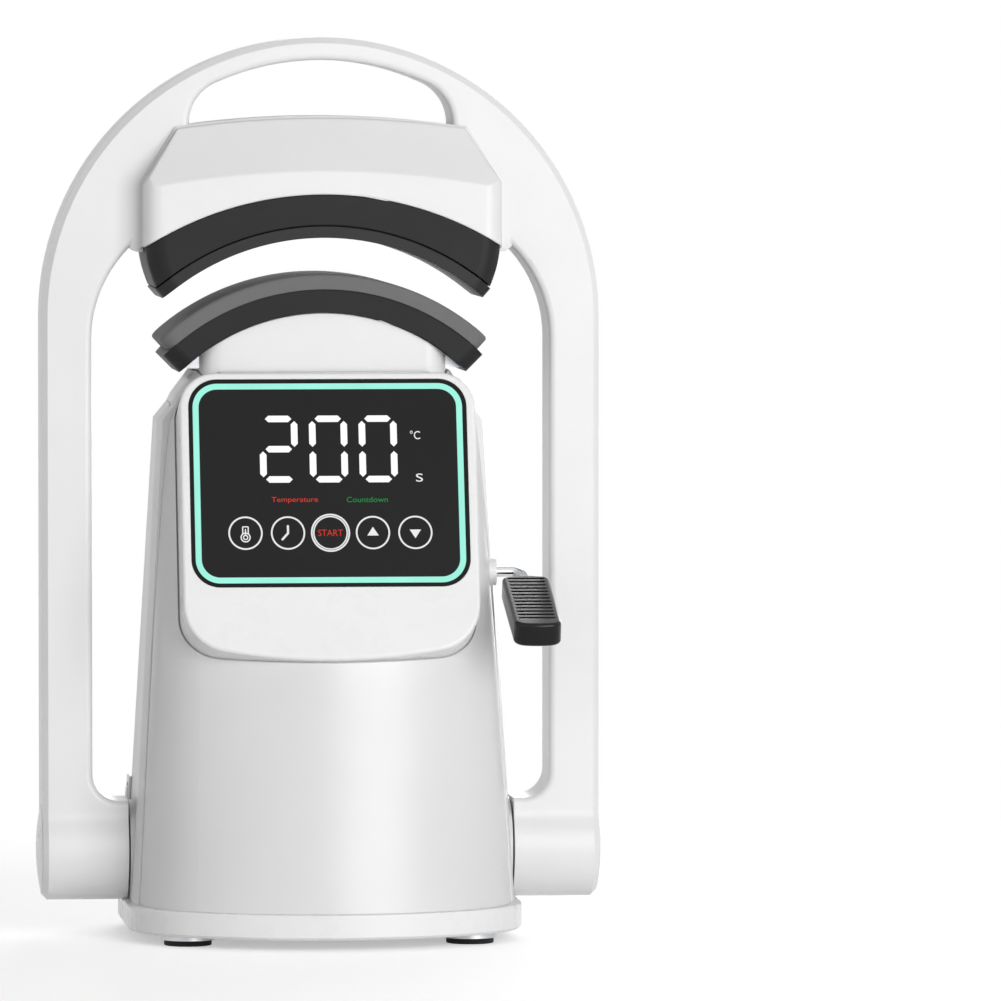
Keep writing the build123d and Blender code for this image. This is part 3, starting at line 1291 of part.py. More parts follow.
HOOD_SCREW_HEAD = 3.0
with BuildPart() as hood_screws:
    for side in PIVOT_SIDES:
        inner_face = FRONT.offset(side * (ARCH_DEPTH / 2 - WALL))
        with BuildSketch(inner_face):
            with Locations(*HOOD_SCREWS):
                Circle(HOOD_SCREW)
        extrude(amount=side * (HOOD_SCREW_TIP - ARCH_DEPTH / 2 + WALL))
        with BuildSketch(inner_face):
            with Locations(*HOOD_SCREWS):
                Circle(HOOD_SCREW_HEAD)
        extrude(amount=-side * HOOD_SCREW_HEAD / 2)
save(hood_screws, "hood_screws")

CAVITY_RADIUS = 126.9   # of the head's underside cavity, about the plate's axis
CAVITY_HALF_ANGLE = 34.0
CAVITY_HALF_DEPTH = 32.0
SHIELD_CORNER = 9.0
SHIELD_BULGE = 0.8
SHIELD_GAP = 0.7        # shadow line between heat shield and heating plate
SHIELD_INNER = PLATE_RADIUS + PLATE_THICKNESS + SHIELD_GAP
SHIELD_TOP = (SHIELD_HALF_TOP, SHIELD_AXIS_Z + sqrt(SHIELD_RADIUS**2 - SHIELD_HALF_TOP**2))
SHIELD_FOOT = (SHIELD_HALF_FOOT, PLATE_AXIS_Z + sqrt(SHIELD_INNER**2 - SHIELD_HALF_FOOT**2))
SHIELD_SIDE = (
    (SHIELD_TOP[0] + SHIELD_FOOT[0]) / 2 + SHIELD_BULGE, (SHIELD_TOP[1] + SHIELD_FOOT[1]) / 2
)
with BuildPart() as heat_shield:
    with BuildSketch(FRONT):
        with BuildLine():
            ThreePointArc(
                (-SHIELD_TOP[0], SHIELD_TOP[1]), (0, SHIELD_AXIS_Z + SHIELD_RADIUS), SHIELD_TOP
            )
            ThreePointArc(SHIELD_TOP, SHIELD_SIDE, SHIELD_FOOT)
            ThreePointArc(
                SHIELD_FOOT, (0, PLATE_AXIS_Z + SHIELD_INNER), (-SHIELD_FOOT[0], SHIELD_FOOT[1])
            )
            ThreePointArc(
                (-SHIELD_FOOT[0], SHIELD_FOOT[1]),
                (-SHIELD_SIDE[0], SHIELD_SIDE[1]),
                (-SHIELD_TOP[0], SHIELD_TOP[1]),
            )
        make_face()
    extrude(amount=HEAD_HALF_DEPTH, both=True)
    ends = edges().filter_by(lambda e: abs(e.center().X) > SHIELD_HALF_FOOT).filter_by(
        lambda e: abs(e.center().Y) > HEAD_HALF_DEPTH - 0.01
    )
    fillet(ends, SHIELD_CORNER)
    with BuildSketch(FRONT):
        make_face(
            ring_sector(PLATE_AXIS_Z, PLATE_RADIUS, CAVITY_RADIUS, CAVITY_HALF_ANGLE)
        )
    extrude(amount=CAVITY_HALF_DEPTH, both=True, mode=Mode.SUBTRACT)
    with BuildSketch(Plane.XY.offset(SHIELD_AXIS_Z)):
        with Locations((-BOLT_X, 0), (BOLT_X, 0)):
            Circle(BOLT_RADIUS + SEAT_GAP)
    extrude(amount=CROSSBAR_Z - SHIELD_AXIS_Z, mode=Mode.SUBTRACT)
save(heat_shield, "heat_shield")

UPSTAND_RADIUS = 118.4
UPSTAND_HALF_ANGLE = 33.0
UPSTAND_HALF_DEPTH = 30.0
PLATE_HALF_DEPTH = HEAD_HALF_DEPTH - 1.0
BOLT_TIP = 316.0
with BuildPart() as heating_plate:
    with BuildSketch(FRONT):
        make_face(
            ring_sector(
                PLATE_AXIS_Z, PLATE_RADIUS, PLATE_RADIUS + PLATE_THICKNESS, PLATE_HALF_ANGLE
            )
        )
    extrude(amount=PLATE_HALF_DEPTH, both=True)
    ends = faces().sort_by(Axis.X)[0].edges() + faces().sort_by(Axis.X)[-1].edges()
    fillet(ends.filter_by(Axis.Y, reverse=True), SHIELD_CORNER)
    with BuildSketch(FRONT):
        make_face(
            ring_sector(
                PLATE_AXIS_Z, PLATE_RADIUS + PLATE_THICKNESS, UPSTAND_RADIUS, UPSTAND_HALF_ANGLE
            )
        )
    extrude(amount=UPSTAND_HALF_DEPTH, both=True)
    with BuildSketch(Plane.XY.offset(BOLT_TIP)):
        with Locations((-BOLT_X, 0), (BOLT_X, 0)):
            Circle(BOLT_RADIUS)
    extrude(amount=UPSTAND_RADIUS, mode=Mode.SUBTRACT)
save(heating_plate, "heating_plate")

TUBE_RADIUS = 2.5
TUBE_ARC_RADIUS = UPSTAND_RADIUS + SEAT_GAP + TUBE_RADIUS
TUBE_HALF_ANGLE = 30.0
TUBE_Y = (-21.0, -9.0, 9.0, 21.0)
TUBE_START = radians(TUBE_HALF_ANGLE)
with BuildPart() as heater_tubes:
    with BuildSketch(
        Plane(
            origin=(
                -TUBE_ARC_RADIUS * sin(TUBE_START),
                0,
                PLATE_AXIS_Z + TUBE_ARC_RADIUS * cos(TUBE_START),
            ),
            x_dir=(0, 1, 0),
            z_dir=(cos(TUBE_START), 0, sin(TUBE_START)),
        )
    ):
        with Locations(*[(y, 0) for y in TUBE_Y]):
            Circle(TUBE_RADIUS)
    revolve(axis=Axis((0, 0, PLATE_AXIS_Z), (0, 1, 0)), revolution_arc=2 * TUBE_HALF_ANGLE)
save(heater_tubes, "heater_tubes")

with BuildPart() as insulation_pad:
    with BuildSketch(FRONT):
        make_face(
            ring_sector(
                PLATE_AXIS_Z,
                TUBE_ARC_RADIUS + TUBE_RADIUS + SEAT_GAP,
                CAVITY_RADIUS - SEAT_GAP,
                UPSTAND_HALF_ANGLE,
            )
        )
    extrude(amount=UPSTAND_HALF_DEPTH, both=True)
    with BuildSketch(Plane.XY.offset(BOLT_TIP)):
        with Locations((-BOLT_X, 0), (BOLT_X, 0)):
            Circle(BOLT_RADIUS + SEAT_GAP)
    extrude(amount=UPSTAND_RADIUS, mode=Mode.SUBTRACT)
save(insulation_pad, "insulation_pad")

CUTOUT_RADIUS = 4.5
with BuildPart() as thermal_cutout:
    with BuildSketch(Plane.XY.offset(PLATE_AXIS_Z + UPSTAND_RADIUS)):
        Circle(CUTOUT_RADIUS)
    extrude(amount=2 * TUBE_RADIUS)
save(thermal_cutout, "thermal_cutout")

with BuildPart() as platen_bolts:
    with BuildSketch(Plane.XY.offset(BOLT_TIP)):
        with Locations((-BOLT_X, 0), (BOLT_X, 0)):
            Circle(BOLT_RADIUS)
    extrude(amount=CROSSBAR_Z + CROSSBAR_THICKNESS - BOLT_TIP)
    with BuildSketch(Plane.XY.offset(CROSSBAR_Z + CROSSBAR_THICKNESS)):
        with Locations((-BOLT_X, 0), (BOLT_X, 0)):
            RegularPolygon(1.75 * BOLT_RADIUS, 6)
    extrude(amount=1.2 * BOLT_RADIUS)
save(platen_bolts, "platen_bolts")

# --------------------------------------------------------------------------- power
ROCKER_WIDTH = 9.8
ROCKER_HALF_HEIGHT = 8.0
ROCKER_TILT = 9.0       # degrees each side of the middle
ROCKER_DEPTH = 3.5      # of its axis below the cheek's surface
ROCKER_PEAK = 2.0
ROCKER_PIN = 1.0
SWITCH_FLANGE = 1.4
SWITCH_MARGIN = 1.5
SWITCH_CORNER = 2.0
SWITCH_ROUND = 0.6
SWITCH_WALL = 0.5       # beyond the ends of the rocker's pins
ROCKER_AXIS = (
    ROCKER_DEPTH * cos(CHEEK_SLOPE) - SWITCH_X, SWITCH_Z - ROCKER_DEPTH * sin(CHEEK_SLOPE)
)
# Its local X points out of the switch, turned down by the tilt of the rocker at rest
ROCKER_PLANE = Plane(
    origin=(ROCKER_AXIS[0], SWITCH_Y, ROCKER_AXIS[1]),
    x_dir=(
        -cos(CHEEK_SLOPE - radians(ROCKER_TILT)), 0, sin(CHEEK_SLOPE - radians(ROCKER_TILT))
    ),
    z_dir=(0, 1, 0),
)
SWITCH_DEPTH = 20.0
SWITCH_POCKET = 9.0
with BuildPart() as switch_housing:
    with BuildSketch(SWITCH_PLANE):
        RectangleRounded(SWITCH_WIDTH + 2 * SWITCH_MARGIN, SWITCH_HEIGHT + 2 * SWITCH_MARGIN, SWITCH_CORNER)
    extrude(amount=SWITCH_FLANGE)
    fillet(faces().sort_by(Axis.X)[0].edges(), SWITCH_ROUND)
    with BuildSketch(SWITCH_PLANE):
        Rectangle(SWITCH_WIDTH, SWITCH_HEIGHT)
    extrude(amount=-SWITCH_DEPTH)
    with BuildSketch(SWITCH_PLANE.offset(SWITCH_FLANGE)):
        Rectangle(ROCKER_WIDTH + 2 * SEAT_GAP, 2 * (ROCKER_HALF_HEIGHT + 4 * SEAT_GAP))
    extrude(amount=-SWITCH_POCKET - SWITCH_FLANGE, mode=Mode.SUBTRACT)
    with BuildSketch(Plane.XZ.offset(-SWITCH_Y)):
        with Locations(ROCKER_AXIS):
            Circle(ROCKER_PIN + RUNNING)
    extrude(amount=SWITCH_WIDTH / 2 - SWITCH_WALL, both=True, mode=Mode.SUBTRACT)
save(switch_housing, "switch_housing")

ROCKER_TOP = ROCKER_DEPTH + ROCKER_PEAK
ROCKER_END = ROCKER_TOP - ROCKER_HALF_HEIGHT * tan(radians(ROCKER_TILT))
ROCKER_KEEL = 3.0
ROCKER_ROUND = 1.0
ROCKER_FIT = 0.2
with BuildPart() as power_rocker:
    with BuildSketch(ROCKER_PLANE):
        with BuildLine():
            Polyline(
                (0, -ROCKER_HALF_HEIGHT),
                (ROCKER_END, -ROCKER_HALF_HEIGHT),
                (ROCKER_TOP, 0),
                (ROCKER_END, ROCKER_HALF_HEIGHT),
                (0, ROCKER_HALF_HEIGHT),
                (-ROCKER_KEEL, 0),
                close=True,
            )
        make_face()
        fillet(vertices().sort_by(Axis.X)[-3:], ROCKER_ROUND)
    extrude(amount=ROCKER_WIDTH / 2, both=True)
    with BuildSketch(ROCKER_PLANE):
        Circle(ROCKER_PIN)
    extrude(amount=SWITCH_WIDTH / 2 - SWITCH_WALL - ROCKER_FIT, both=True)
save(power_rocker, "power_rocker")

INLET_FLANGE = 3.0
INLET_DEPTH = 22.0
INLET_ROUND = 0.8
SOCKET = (22.0, 15.0)
SOCKET_DEPTH = 14.0
SOCKET_CHAMFER = 4.0
PIN_DEPTH = 6.5         # of the pins' tips below the socket's mouth
PIN_SIZE = (2.0, 4.0)
PINS = [(-7.0, -1.5), (7.0, -1.5), (0.0, 2.5)]
with BuildPart() as power_inlet:
    with BuildSketch(INLET_PLANE):
        RectangleRounded(
            INLET_WIDTH + 2 * INLET_FLANGE, INLET_HEIGHT + 2 * INLET_FLANGE, INLET_FLANGE
        )
    extrude(amount=-3 * INLET_FLANGE)
    fillet(faces().sort_by(Axis.Y)[-1].edges(), INLET_ROUND)
    add(CORE, mode=Mode.SUBTRACT)
    with BuildSketch(INLET_PLANE):
        Rectangle(INLET_WIDTH, INLET_HEIGHT)
    extrude(amount=-INLET_DEPTH)
    with BuildSketch(INLET_PLANE):
        Rectangle(*SOCKET)
        chamfer(vertices().group_by(Axis.Y)[-1], SOCKET_CHAMFER)
    extrude(amount=-SOCKET_DEPTH, mode=Mode.SUBTRACT)
save(power_inlet, "power_inlet")

with BuildPart() as inlet_pins:
    with BuildSketch(INLET_PLANE.offset(-SOCKET_DEPTH)):
        with Locations(*PINS):
            Rectangle(*PIN_SIZE)
    extrude(amount=SOCKET_DEPTH - PIN_DEPTH)
save(inlet_pins, "inlet_pins")

BOARD_Y = 62.0
POWER_BOARD = (80.0, 38.0, 1.6)
STANDOFF = 3.0          # radius
STANDOFF_HEIGHT = 9.0
STANDOFF_INSET = 5.0    # of their axes from the board's edges
BOARD_Z = FRAME_FOOT_Z + STANDOFF_HEIGHT
TRANSFORMER = (24.0, 20.0, 18.0)
RELAY = (12.0, 16.0, 14.0)
CAPACITOR = (6.0, 15.0)     # radius and height
with BuildPart() as board_standoffs:
    with Locations((0, BOARD_Y, FRAME_FOOT_Z)):
        with GridLocations(
            POWER_BOARD[0] - 2 * STANDOFF_INSET, POWER_BOARD[1] - 2 * STANDOFF_INSET, 2, 2
        ):
            Cylinder(STANDOFF, STANDOFF_HEIGHT, align=(Align.CENTER, Align.CENTER, Align.MIN))
save(board_standoffs, "board_standoffs")

with BuildPart() as power_board:
    with Locations((0, BOARD_Y, BOARD_Z)):
        Box(*POWER_BOARD, align=(Align.CENTER, Align.CENTER, Align.MIN))
save(power_board, "power_board")

with BuildPart() as power_components:
    with Locations((-18, BOARD_Y, BOARD_Z + POWER_BOARD[2])):
        Box(*TRANSFORMER, align=(Align.CENTER, Align.CENTER, Align.MIN))
    with Locations((28, BOARD_Y, BOARD_Z + POWER_BOARD[2])):
        Box(*RELAY, align=(Align.CENTER, Align.CENTER, Align.MIN))
    with Locations((10, BOARD_Y + 1, BOARD_Z + POWER_BOARD[2])):
        with GridLocations(0, 14, 1, 2):
            Cylinder(*CAPACITOR, align=(Align.CENTER, Align.CENTER, Align.MIN))
save(power_components, "power_components")
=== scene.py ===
"""Looks of an upright press for caps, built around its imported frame.

Metres throughout. Z is up, X is to the object's right and -Y faces the user.
"""

import json
import logging
import math
from dataclasses import dataclass
from enum import Enum
from typing import Sequence, Union

import bpy
from mathutils import Matrix, Vector


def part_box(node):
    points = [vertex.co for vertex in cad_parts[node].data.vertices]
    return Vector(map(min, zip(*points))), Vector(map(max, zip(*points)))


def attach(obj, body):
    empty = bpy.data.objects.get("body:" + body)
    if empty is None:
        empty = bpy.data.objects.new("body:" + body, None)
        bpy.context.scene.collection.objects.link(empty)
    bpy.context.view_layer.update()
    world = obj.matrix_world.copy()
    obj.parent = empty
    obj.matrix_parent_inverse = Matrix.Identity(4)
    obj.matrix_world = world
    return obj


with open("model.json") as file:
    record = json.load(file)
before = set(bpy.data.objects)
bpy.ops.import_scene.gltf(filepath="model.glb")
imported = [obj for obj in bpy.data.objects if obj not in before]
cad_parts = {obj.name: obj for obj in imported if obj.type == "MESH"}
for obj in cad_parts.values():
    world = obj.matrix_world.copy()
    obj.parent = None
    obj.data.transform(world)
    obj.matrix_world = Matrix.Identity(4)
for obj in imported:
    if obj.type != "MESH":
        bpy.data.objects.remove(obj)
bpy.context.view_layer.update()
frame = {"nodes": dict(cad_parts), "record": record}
LOG = logging.getLogger("cap_press")
MM = 0.001
UPRIGHT = math.pi / 2     # turn of a bar that stands, from level
MIDDLE = 0.5              # round which a noise's values lie
MATT_GLOSS = 0.25         # specular level of matt surfaces

Colour = tuple[float, float, float]
Number = Union[float, "Signal"]


def grey(level: float) -> Colour:
    """A neutral colour."""
    return (level, level, level)


def dimmed(colour: Colour, share: float) -> Colour:
    """A share of a colour's light."""
    return tuple(share * channel for channel in colour)


class Axis(Enum):
    """A direction that a pattern runs along."""

    X = 0
    Y = 1
    Z = 2


class Signal:
    """A value socket in a shader, on which the usual operators add Math nodes."""

    def __init__(self, tree: bpy.types.NodeTree, socket: bpy.types.NodeSocket) -> None:
        """Wraps the socket."""
        self.tree = tree
        self.socket = socket

    def math(self, operation: str, *values: Number) -> "Signal":
        """Adds one Math node.

        Args:
            operation: the node's operation.
            values: what goes to its inputs, in order.

        Returns:
            The node's result.
        """
        node = self.tree.nodes.new("ShaderNodeMath")
        node.operation = operation
        for slot, value in zip(node.inputs, values):
            if isinstance(value, Signal):
                self.tree.links.new(value.socket, slot)
            else:
                slot.default_value = value
        return Signal(self.tree, node.outputs[0])

    def __add__(self, other: Number) -> "Signal":
        """Sum."""
        return self.math("ADD", self, other)

    def __radd__(self, other: Number) -> "Signal":
        """Sum, the number first."""
        return self.math("ADD", other, self)

    def __sub__(self, other: Number) -> "Signal":
        """Difference."""
        return self.math("SUBTRACT", self, other)

    def __rsub__(self, other: Number) -> "Signal":
        """Difference, the number first."""
        return self.math("SUBTRACT", other, self)

    def __mul__(self, other: Number) -> "Signal":
        """Product."""
        return self.math("MULTIPLY", self, other)

    def __abs__(self) -> "Signal":
        """Size without its sign."""
        return self.math("ABSOLUTE", self)

    def above(self, other: Number) -> "Signal":
        """The larger of the two."""
        return self.math("MAXIMUM", self, other)

    def root(self) -> "Signal":
        """Square root."""
        return self.math("SQRT", self)

    def swing(self, amount: float) -> "Signal":
        """How far a noise is from its middle, times an amount."""
        return (self - MIDDLE) * amount

    def step(self, low: float, high: float) -> "Signal":
        """A smooth rise from 0 at low to 1 at high.

        Args:
            low: where the rise starts.
            high: where it ends.

        Returns:
            The share of the rise.
        """
        node = self.tree.nodes.new("ShaderNodeMapRange")
        node.interpolation_type = "SMOOTHSTEP"
        node.inputs["From Min"].default_value = low
        node.inputs["From Max"].default_value = high
        self.tree.links.new(self.socket, node.inputs["Value"])
        return Signal(self.tree, node.outputs["Result"])


class Paint:
    """The node tree of one material, with its Principled shader and Object coordinates."""

    def __init__(self, name: str) -> None:
        """Makes the material with that name."""
        self.material = bpy.data.materials.new(name)
        self.material.use_nodes = True
        self.tree = self.material.node_tree
        self.shader = self.tree.nodes["Principled BSDF"]
        self.place = self.tree.nodes.new("ShaderNodeTexCoord").outputs["Object"]

    def set(self, **values: object) -> None:
        """Sets or links sockets of the shader, with _ for each space in a socket's name.

        Args:
            values: a constant, a Signal or a socket for each.
        """
        self.feed(self.shader, {name.replace("_", " "): v for name, v in values.items()})

    def feed(self, node: bpy.types.Node, inputs: dict[str | int, object]) -> None:
        """Gives a node's sockets their values or links.

        Args:
            node: the node.
            inputs: a constant, a Signal or a socket by socket name or number.
        """
        for key, value in inputs.items():
            slot = node.inputs[key]
            if isinstance(value, Signal):
                self.tree.links.new(value.socket, slot)
            elif isinstance(value, bpy.types.NodeSocket):
                self.tree.links.new(value, slot)
            elif isinstance(value, tuple) and len(value) == 3 and slot.type == "RGBA":
                slot.default_value = (*value, 1.0)
            else:
                slot.default_value = value

    def add(self, kind: str, settings: dict, inputs: dict) -> bpy.types.Node:
        """Adds a node.

        Args:
            kind: its type, without the common prefix.
            settings: its own settings, which are set first.
            inputs: what its sockets get.

        Returns:
            The node.
        """
        node = self.tree.nodes.new(f"ShaderNode{kind}")
        for key, value in settings.items():
            setattr(node, key, value)
        self.feed(node, inputs)
        return node

    def stretched(self, scale: Sequence[float]) -> bpy.types.NodeSocket:
        """Object coordinates multiplied by one factor for each axis."""
        node = self.add("Mapping", {}, {"Vector": self.place, "Scale": tuple(scale)})
        return node.outputs["Vector"]

    def axis(self, which: Axis) -> Signal:
        """One Object coordinate."""
        node = self.add("SeparateXYZ", {}, {"Vector": self.place})
        return Signal(self.tree, node.outputs[which.value])

    def noise(
        self, size: float, detail: float = 2.0, at: bpy.types.NodeSocket | None = None
    ) -> Signal:
        """Noise whose blotches are about this size.

        Args:
            size: of a blotch, in metres, or in the units of the coordinates given.
            detail: octaves of finer noise.
            at: the coordinates, if not the plain Object ones.

        Returns:
            The noise, round 0.5.
        """
        node = self.add(
            "TexNoise", {}, {"Vector": at or self.place, "Scale": 1 / size, "Detail": detail}
        )
        return Signal(self.tree, node.outputs["Fac"])

    def cells(self, size: float) -> Signal:
        """Distance from the middles of cells of this size, as a share of it."""
        node = self.add("TexVoronoi", {}, {"Vector": self.place, "Scale": 1 / size})
        return Signal(self.tree, node.outputs["Distance"])

    def blend(self, share: Number, first: object, second: object) -> bpy.types.NodeSocket:
        """A mix of two colours.

        Args:
            share: of the second.
            first: a colour or a colour socket.
            second: a colour or a colour socket.

        Returns:
            The mixed colour's socket.
        """
        node = self.add("Mix", {"data_type": "RGBA"}, {0: share, 6: first, 7: second})
        return node.outputs[2]

    def bump(self, height: Signal, depth: float, edge: float = 0.0) -> bpy.types.NodeSocket:
        """A normal that a height from 0 to 1 has disturbed.

        Args:
            height: the relief.
            depth: its height in metres.
            edge: radius to which sharp edges look eased.

        Returns:
            The normal's socket.
        """
        inputs = {"Height": height, "Distance": depth}
        if edge:
            bevel = self.add("Bevel", {"samples": 4}, {"Radius": edge})
            inputs["Normal"] = bevel.outputs["Normal"]
        return self.add("Bump", {}, inputs).outputs["Normal"]


@dataclass(frozen=True)
class MouldedPlastic:
    """Injection-moulded plastic with a fine spark-eroded grain.

    Attributes:
        name: of the material.
        colour: of most of the surface.
        shade: of the faint clouds in it.
        roughness: on average.
        grain: size of the grain.
        depth: height of the grain.
        gloss: specular level.
        edge: radius to which sharp edges look eased.
        cloud: size of the clouds.
        touch: size of the patches that hands have polished.
        polish: how much they change the roughness.
        tooth: how much the grain changes it.
    """

    name: str
    colour: Colour
    shade: Colour
    roughness: float
    grain: float = 0.35 * MM
    depth: float = 0.012 * MM
    gloss: float = 0.5
    edge: float = 0.5 * MM
    cloud: float = 0.06
    touch: float = 0.018
    polish: float = 0.10
    tooth: float = 0.05

    def material(self) -> bpy.types.Material:
        """Builds the finish."""
        paint = Paint(self.name)
        cloud = paint.noise(self.cloud, 3.0)
        grain = paint.noise(self.grain, 2.0)
        handled = paint.noise(self.touch, 4.0)
        paint.set(
            Base_Color=paint.blend(cloud.step(0.35, 0.7), self.colour, self.shade),
            Roughness=self.roughness + handled.swing(self.polish) + grain.swing(self.tooth),
            Normal=paint.bump(grain, self.depth, self.edge),
            Specular_IOR_Level=self.gloss,
        )
        return paint.material


@dataclass(frozen=True)
class BrushedSteel:
    """Metal with fine lines along one direction and faint stains.

    Attributes:
        name: of the material.
        colour: of clean metal.
        along: the lines' direction.
        roughness: on average.
        line: width of a line.
        shortening: width of a line as a share of its length.
        stain: size of a stain.
        dulled: brightness of stained metal as a share of clean metal's.
        depth: height of the lines.
    """

    name: str
    colour: Colour
    along: Axis
    roughness: float
    line: float = 0.25 * MM
    shortening: float = 0.02
    stain: float = 0.012
    dulled: float = 0.8
    depth: float = 0.006 * MM

    def material(self) -> bpy.types.Material:
        """Builds the finish."""
        paint = Paint(self.name)
        scale = [1 / self.line] * 3
        scale[self.along.value] = self.shortening / self.line
        lines = paint.noise(1.0, 3.0, paint.stretched(scale))
        stain = paint.noise(self.stain, 4.0)
        paint.set(
            Base_Color=paint.blend(
                stain.step(0.3, 0.75), self.colour, dimmed(self.colour, self.dulled)
            ),
            Metallic=1.0,
            Roughness=self.roughness + lines.swing(0.18) + stain.swing(0.08),
            Normal=paint.bump(lines, self.depth),
        )
        return paint.material


@dataclass(frozen=True)
class Coating:
    """Dark non-stick coating with a fine fleck and an orange-peel surface.

    Attributes:
        name: of the material.
        colour: of the coating.
        fleck: colour of the flecks.
        roughness: on average.
        fleck_pitch: distance between flecks.
        patch: size of the patches that have flecks.
        peel: size of the orange peel.
        depth: height of the orange peel.
        edge: radius to which sharp edges look eased.
    """

    name: str
    colour: Colour
    fleck: Colour
    roughness: float
    fleck_pitch: float = 0.9 * MM
    patch: float = 4 * MM
    peel: float = 0.8 * MM
    depth: float = 0.02 * MM
    edge: float = 0.4 * MM

    def material(self) -> bpy.types.Material:
        """Builds the finish."""
        paint = Paint(self.name)
        flecks = 1 - paint.cells(self.fleck_pitch).step(0.10, 0.22)
        peel = paint.noise(self.peel, 2.0)
        sparse = paint.noise(self.patch, 1.0).step(0.5, 0.62)
        paint.set(
            Base_Color=paint.blend(flecks * sparse * 0.7, self.colour, self.fleck),
            Roughness=self.roughness + peel.swing(0.12),
            Specular_IOR_Level=MATT_GLOSS,
            Normal=paint.bump(peel, self.depth, self.edge),
        )
        return paint.material


@dataclass(frozen=True)
class SoftRubber:
    """Silicone or rubber: matt, with specks of dust and a faint sheen.

    Attributes:
        name: of the material.
        colour: of the clean surface.
        dust: colour of dust on it.
        roughness: on average.
        sheen: strength of the sheen.
        pore: size of a pore.
        smear: size of the patches that a cloth has left.
        speck_pitch: distance between specks of dust.
        depth: depth of the pores.
        edge: radius to which sharp edges look eased.
    """

    name: str
    colour: Colour
    dust: Colour
    roughness: float
    sheen: float
    pore: float = 0.5 * MM
    smear: float = 0.02
    speck_pitch: float = 2.2 * MM
    depth: float = 0.02 * MM
    edge: float = 0.8 * MM

    def material(self) -> bpy.types.Material:
        """Builds the finish."""
        paint = Paint(self.name)
        pores = paint.cells(self.pore)
        wiped = paint.noise(self.smear, 4.0)
        specks = 1 - paint.cells(self.speck_pitch).step(0.04, 0.10)
        paint.set(
            Base_Color=paint.blend(
                wiped.step(0.45, 0.8) * 0.35 + specks * 0.25, self.colour, self.dust
            ),
            Roughness=self.roughness + wiped.swing(0.12),
            Sheen_Weight=self.sheen,
            Sheen_Roughness=0.6,
            Specular_IOR_Level=MATT_GLOSS,
            Normal=paint.bump(pores, self.depth, self.edge),
        )
        return paint.material


@dataclass(frozen=True)
class Glow:
    """A lit sign or light guide, a little uneven along its length.

    Attributes:
        name: of the material.
        colour: of its light.
        strength: of its light.
        patch: size of the brighter and dimmer patches.
        dimmest: brightness of the dimmest patches as a share of the brightest's.
        unlit: brightness of its surface as a share of its light's.
    """

    name: str
    colour: Colour
    strength: float = 1.0
    patch: float = 0.025
    dimmest: float = 0.88
    unlit: float = 0.05

    def material(self) -> bpy.types.Material:
        """Builds the finish."""
        paint = Paint(self.name)
        uneven = paint.noise(self.patch, 2.0)
        paint.set(
            Base_Color=dimmed(self.colour, self.unlit),
            Specular_IOR_Level=0.1,
            Emission_Color=paint.blend(
                uneven.step(0.3, 0.7) * 0.5, self.colour, dimmed(self.colour, self.dimmest)
            ),
            Emission_Strength=self.strength,
            Roughness=0.35 + uneven.swing(0.2),
        )
        return paint.material


@dataclass(frozen=True)
class SmokedGlass:
    """Black-backed glass whose middle, inside the light ring, is a shade paler.

    Attributes:
        name: of the material.
        border: colour outside the ring.
        middle: colour inside it.
        centre: of the glass's face.
        up: direction up the leaning face.
        half_width: of the middle.
        half_height: of the middle.
        corner: radius of the middle's corners.
        blur: width of the change from one colour to the other.
        smear: size of the smears that fingers have left.
        roughness: on average.
    """

    name: str
    border: Colour
    middle: Colour
    centre: Vector
    up: Vector
    half_width: float
    half_height: float
    corner: float
    blur: float = 0.2 * MM
    smear: float = 0.03
    roughness: float = 0.16

    def material(self) -> bpy.types.Material:
        """Builds the finish."""
        paint = Paint(self.name)
        across = abs(paint.axis(Axis.X) - self.centre.x) - (self.half_width - self.corner)
        height = paint.axis(Axis.Y) * self.up.y + paint.axis(Axis.Z) * self.up.z
        upright = abs(height - self.centre.dot(self.up)) - (self.half_height - self.corner)
        wide, tall = across.above(0.0), upright.above(0.0)
        outside = (wide * wide + tall * tall).root() - self.corner
        smear = paint.noise(self.smear, 4.0)
        paint.set(
            Base_Color=paint.blend(outside.step(0.0, self.blur), self.middle, self.border),
            Roughness=self.roughness + smear.swing(0.08),
            Specular_IOR_Level=0.2,
        )
        return paint.material


@dataclass(frozen=True)
class Laminate:
    """A circuit board's solder resist over copper tracks.

    Attributes:
        name: of the material.
        resist: colour of the resist on bare board.
        track: colour of the resist over copper.
        density: tracks to the metre.
        depth: height of the tracks.
    """

    name: str
    resist: Colour = (0.01, 0.10, 0.04)
    track: Colour = (0.05, 0.22, 0.09)
    density: float = 90.0
    depth: float = 0.03 * MM

    def material(self) -> bpy.types.Material:
        """Builds the finish."""
        paint = Paint(self.name)
        inputs = {"Vector": paint.place, "Scale": self.density, "Mortar Size": 0.03}
        tracks = Signal(paint.tree, paint.add("TexBrick", {}, inputs).outputs["Fac"])
        paint.set(
            Base_Color=paint.blend(tracks * 0.6, self.resist, self.track),
            Roughness=0.4 + tracks * 0.1,
            Normal=paint.bump(tracks, self.depth),
        )
        return paint.material


@dataclass(frozen=True)
class Fibre:
    """Pressed ceramic fibre.

    Attributes:
        name: of the material.
        hollow: colour between the strands.
        strand: colour of a strand.
        density: strands to the metre along each axis.
        depth: height of the strands.
    """

    name: str
    hollow: Colour = (0.62, 0.58, 0.48)
    strand: Colour = (0.86, 0.83, 0.75)
    density: tuple[float, float, float] = (1500.0, 300.0, 1500.0)
    depth: float = 0.15 * MM

    def material(self) -> bpy.types.Material:
        """Builds the finish."""
        paint = Paint(self.name)
        strands = paint.noise(1.0, 5.0, paint.stretched(self.density))
        paint.set(
            Base_Color=paint.blend(strands, self.hollow, self.strand),
            Roughness=0.95,
            Normal=paint.bump(strands, self.depth),
        )
        return paint.material


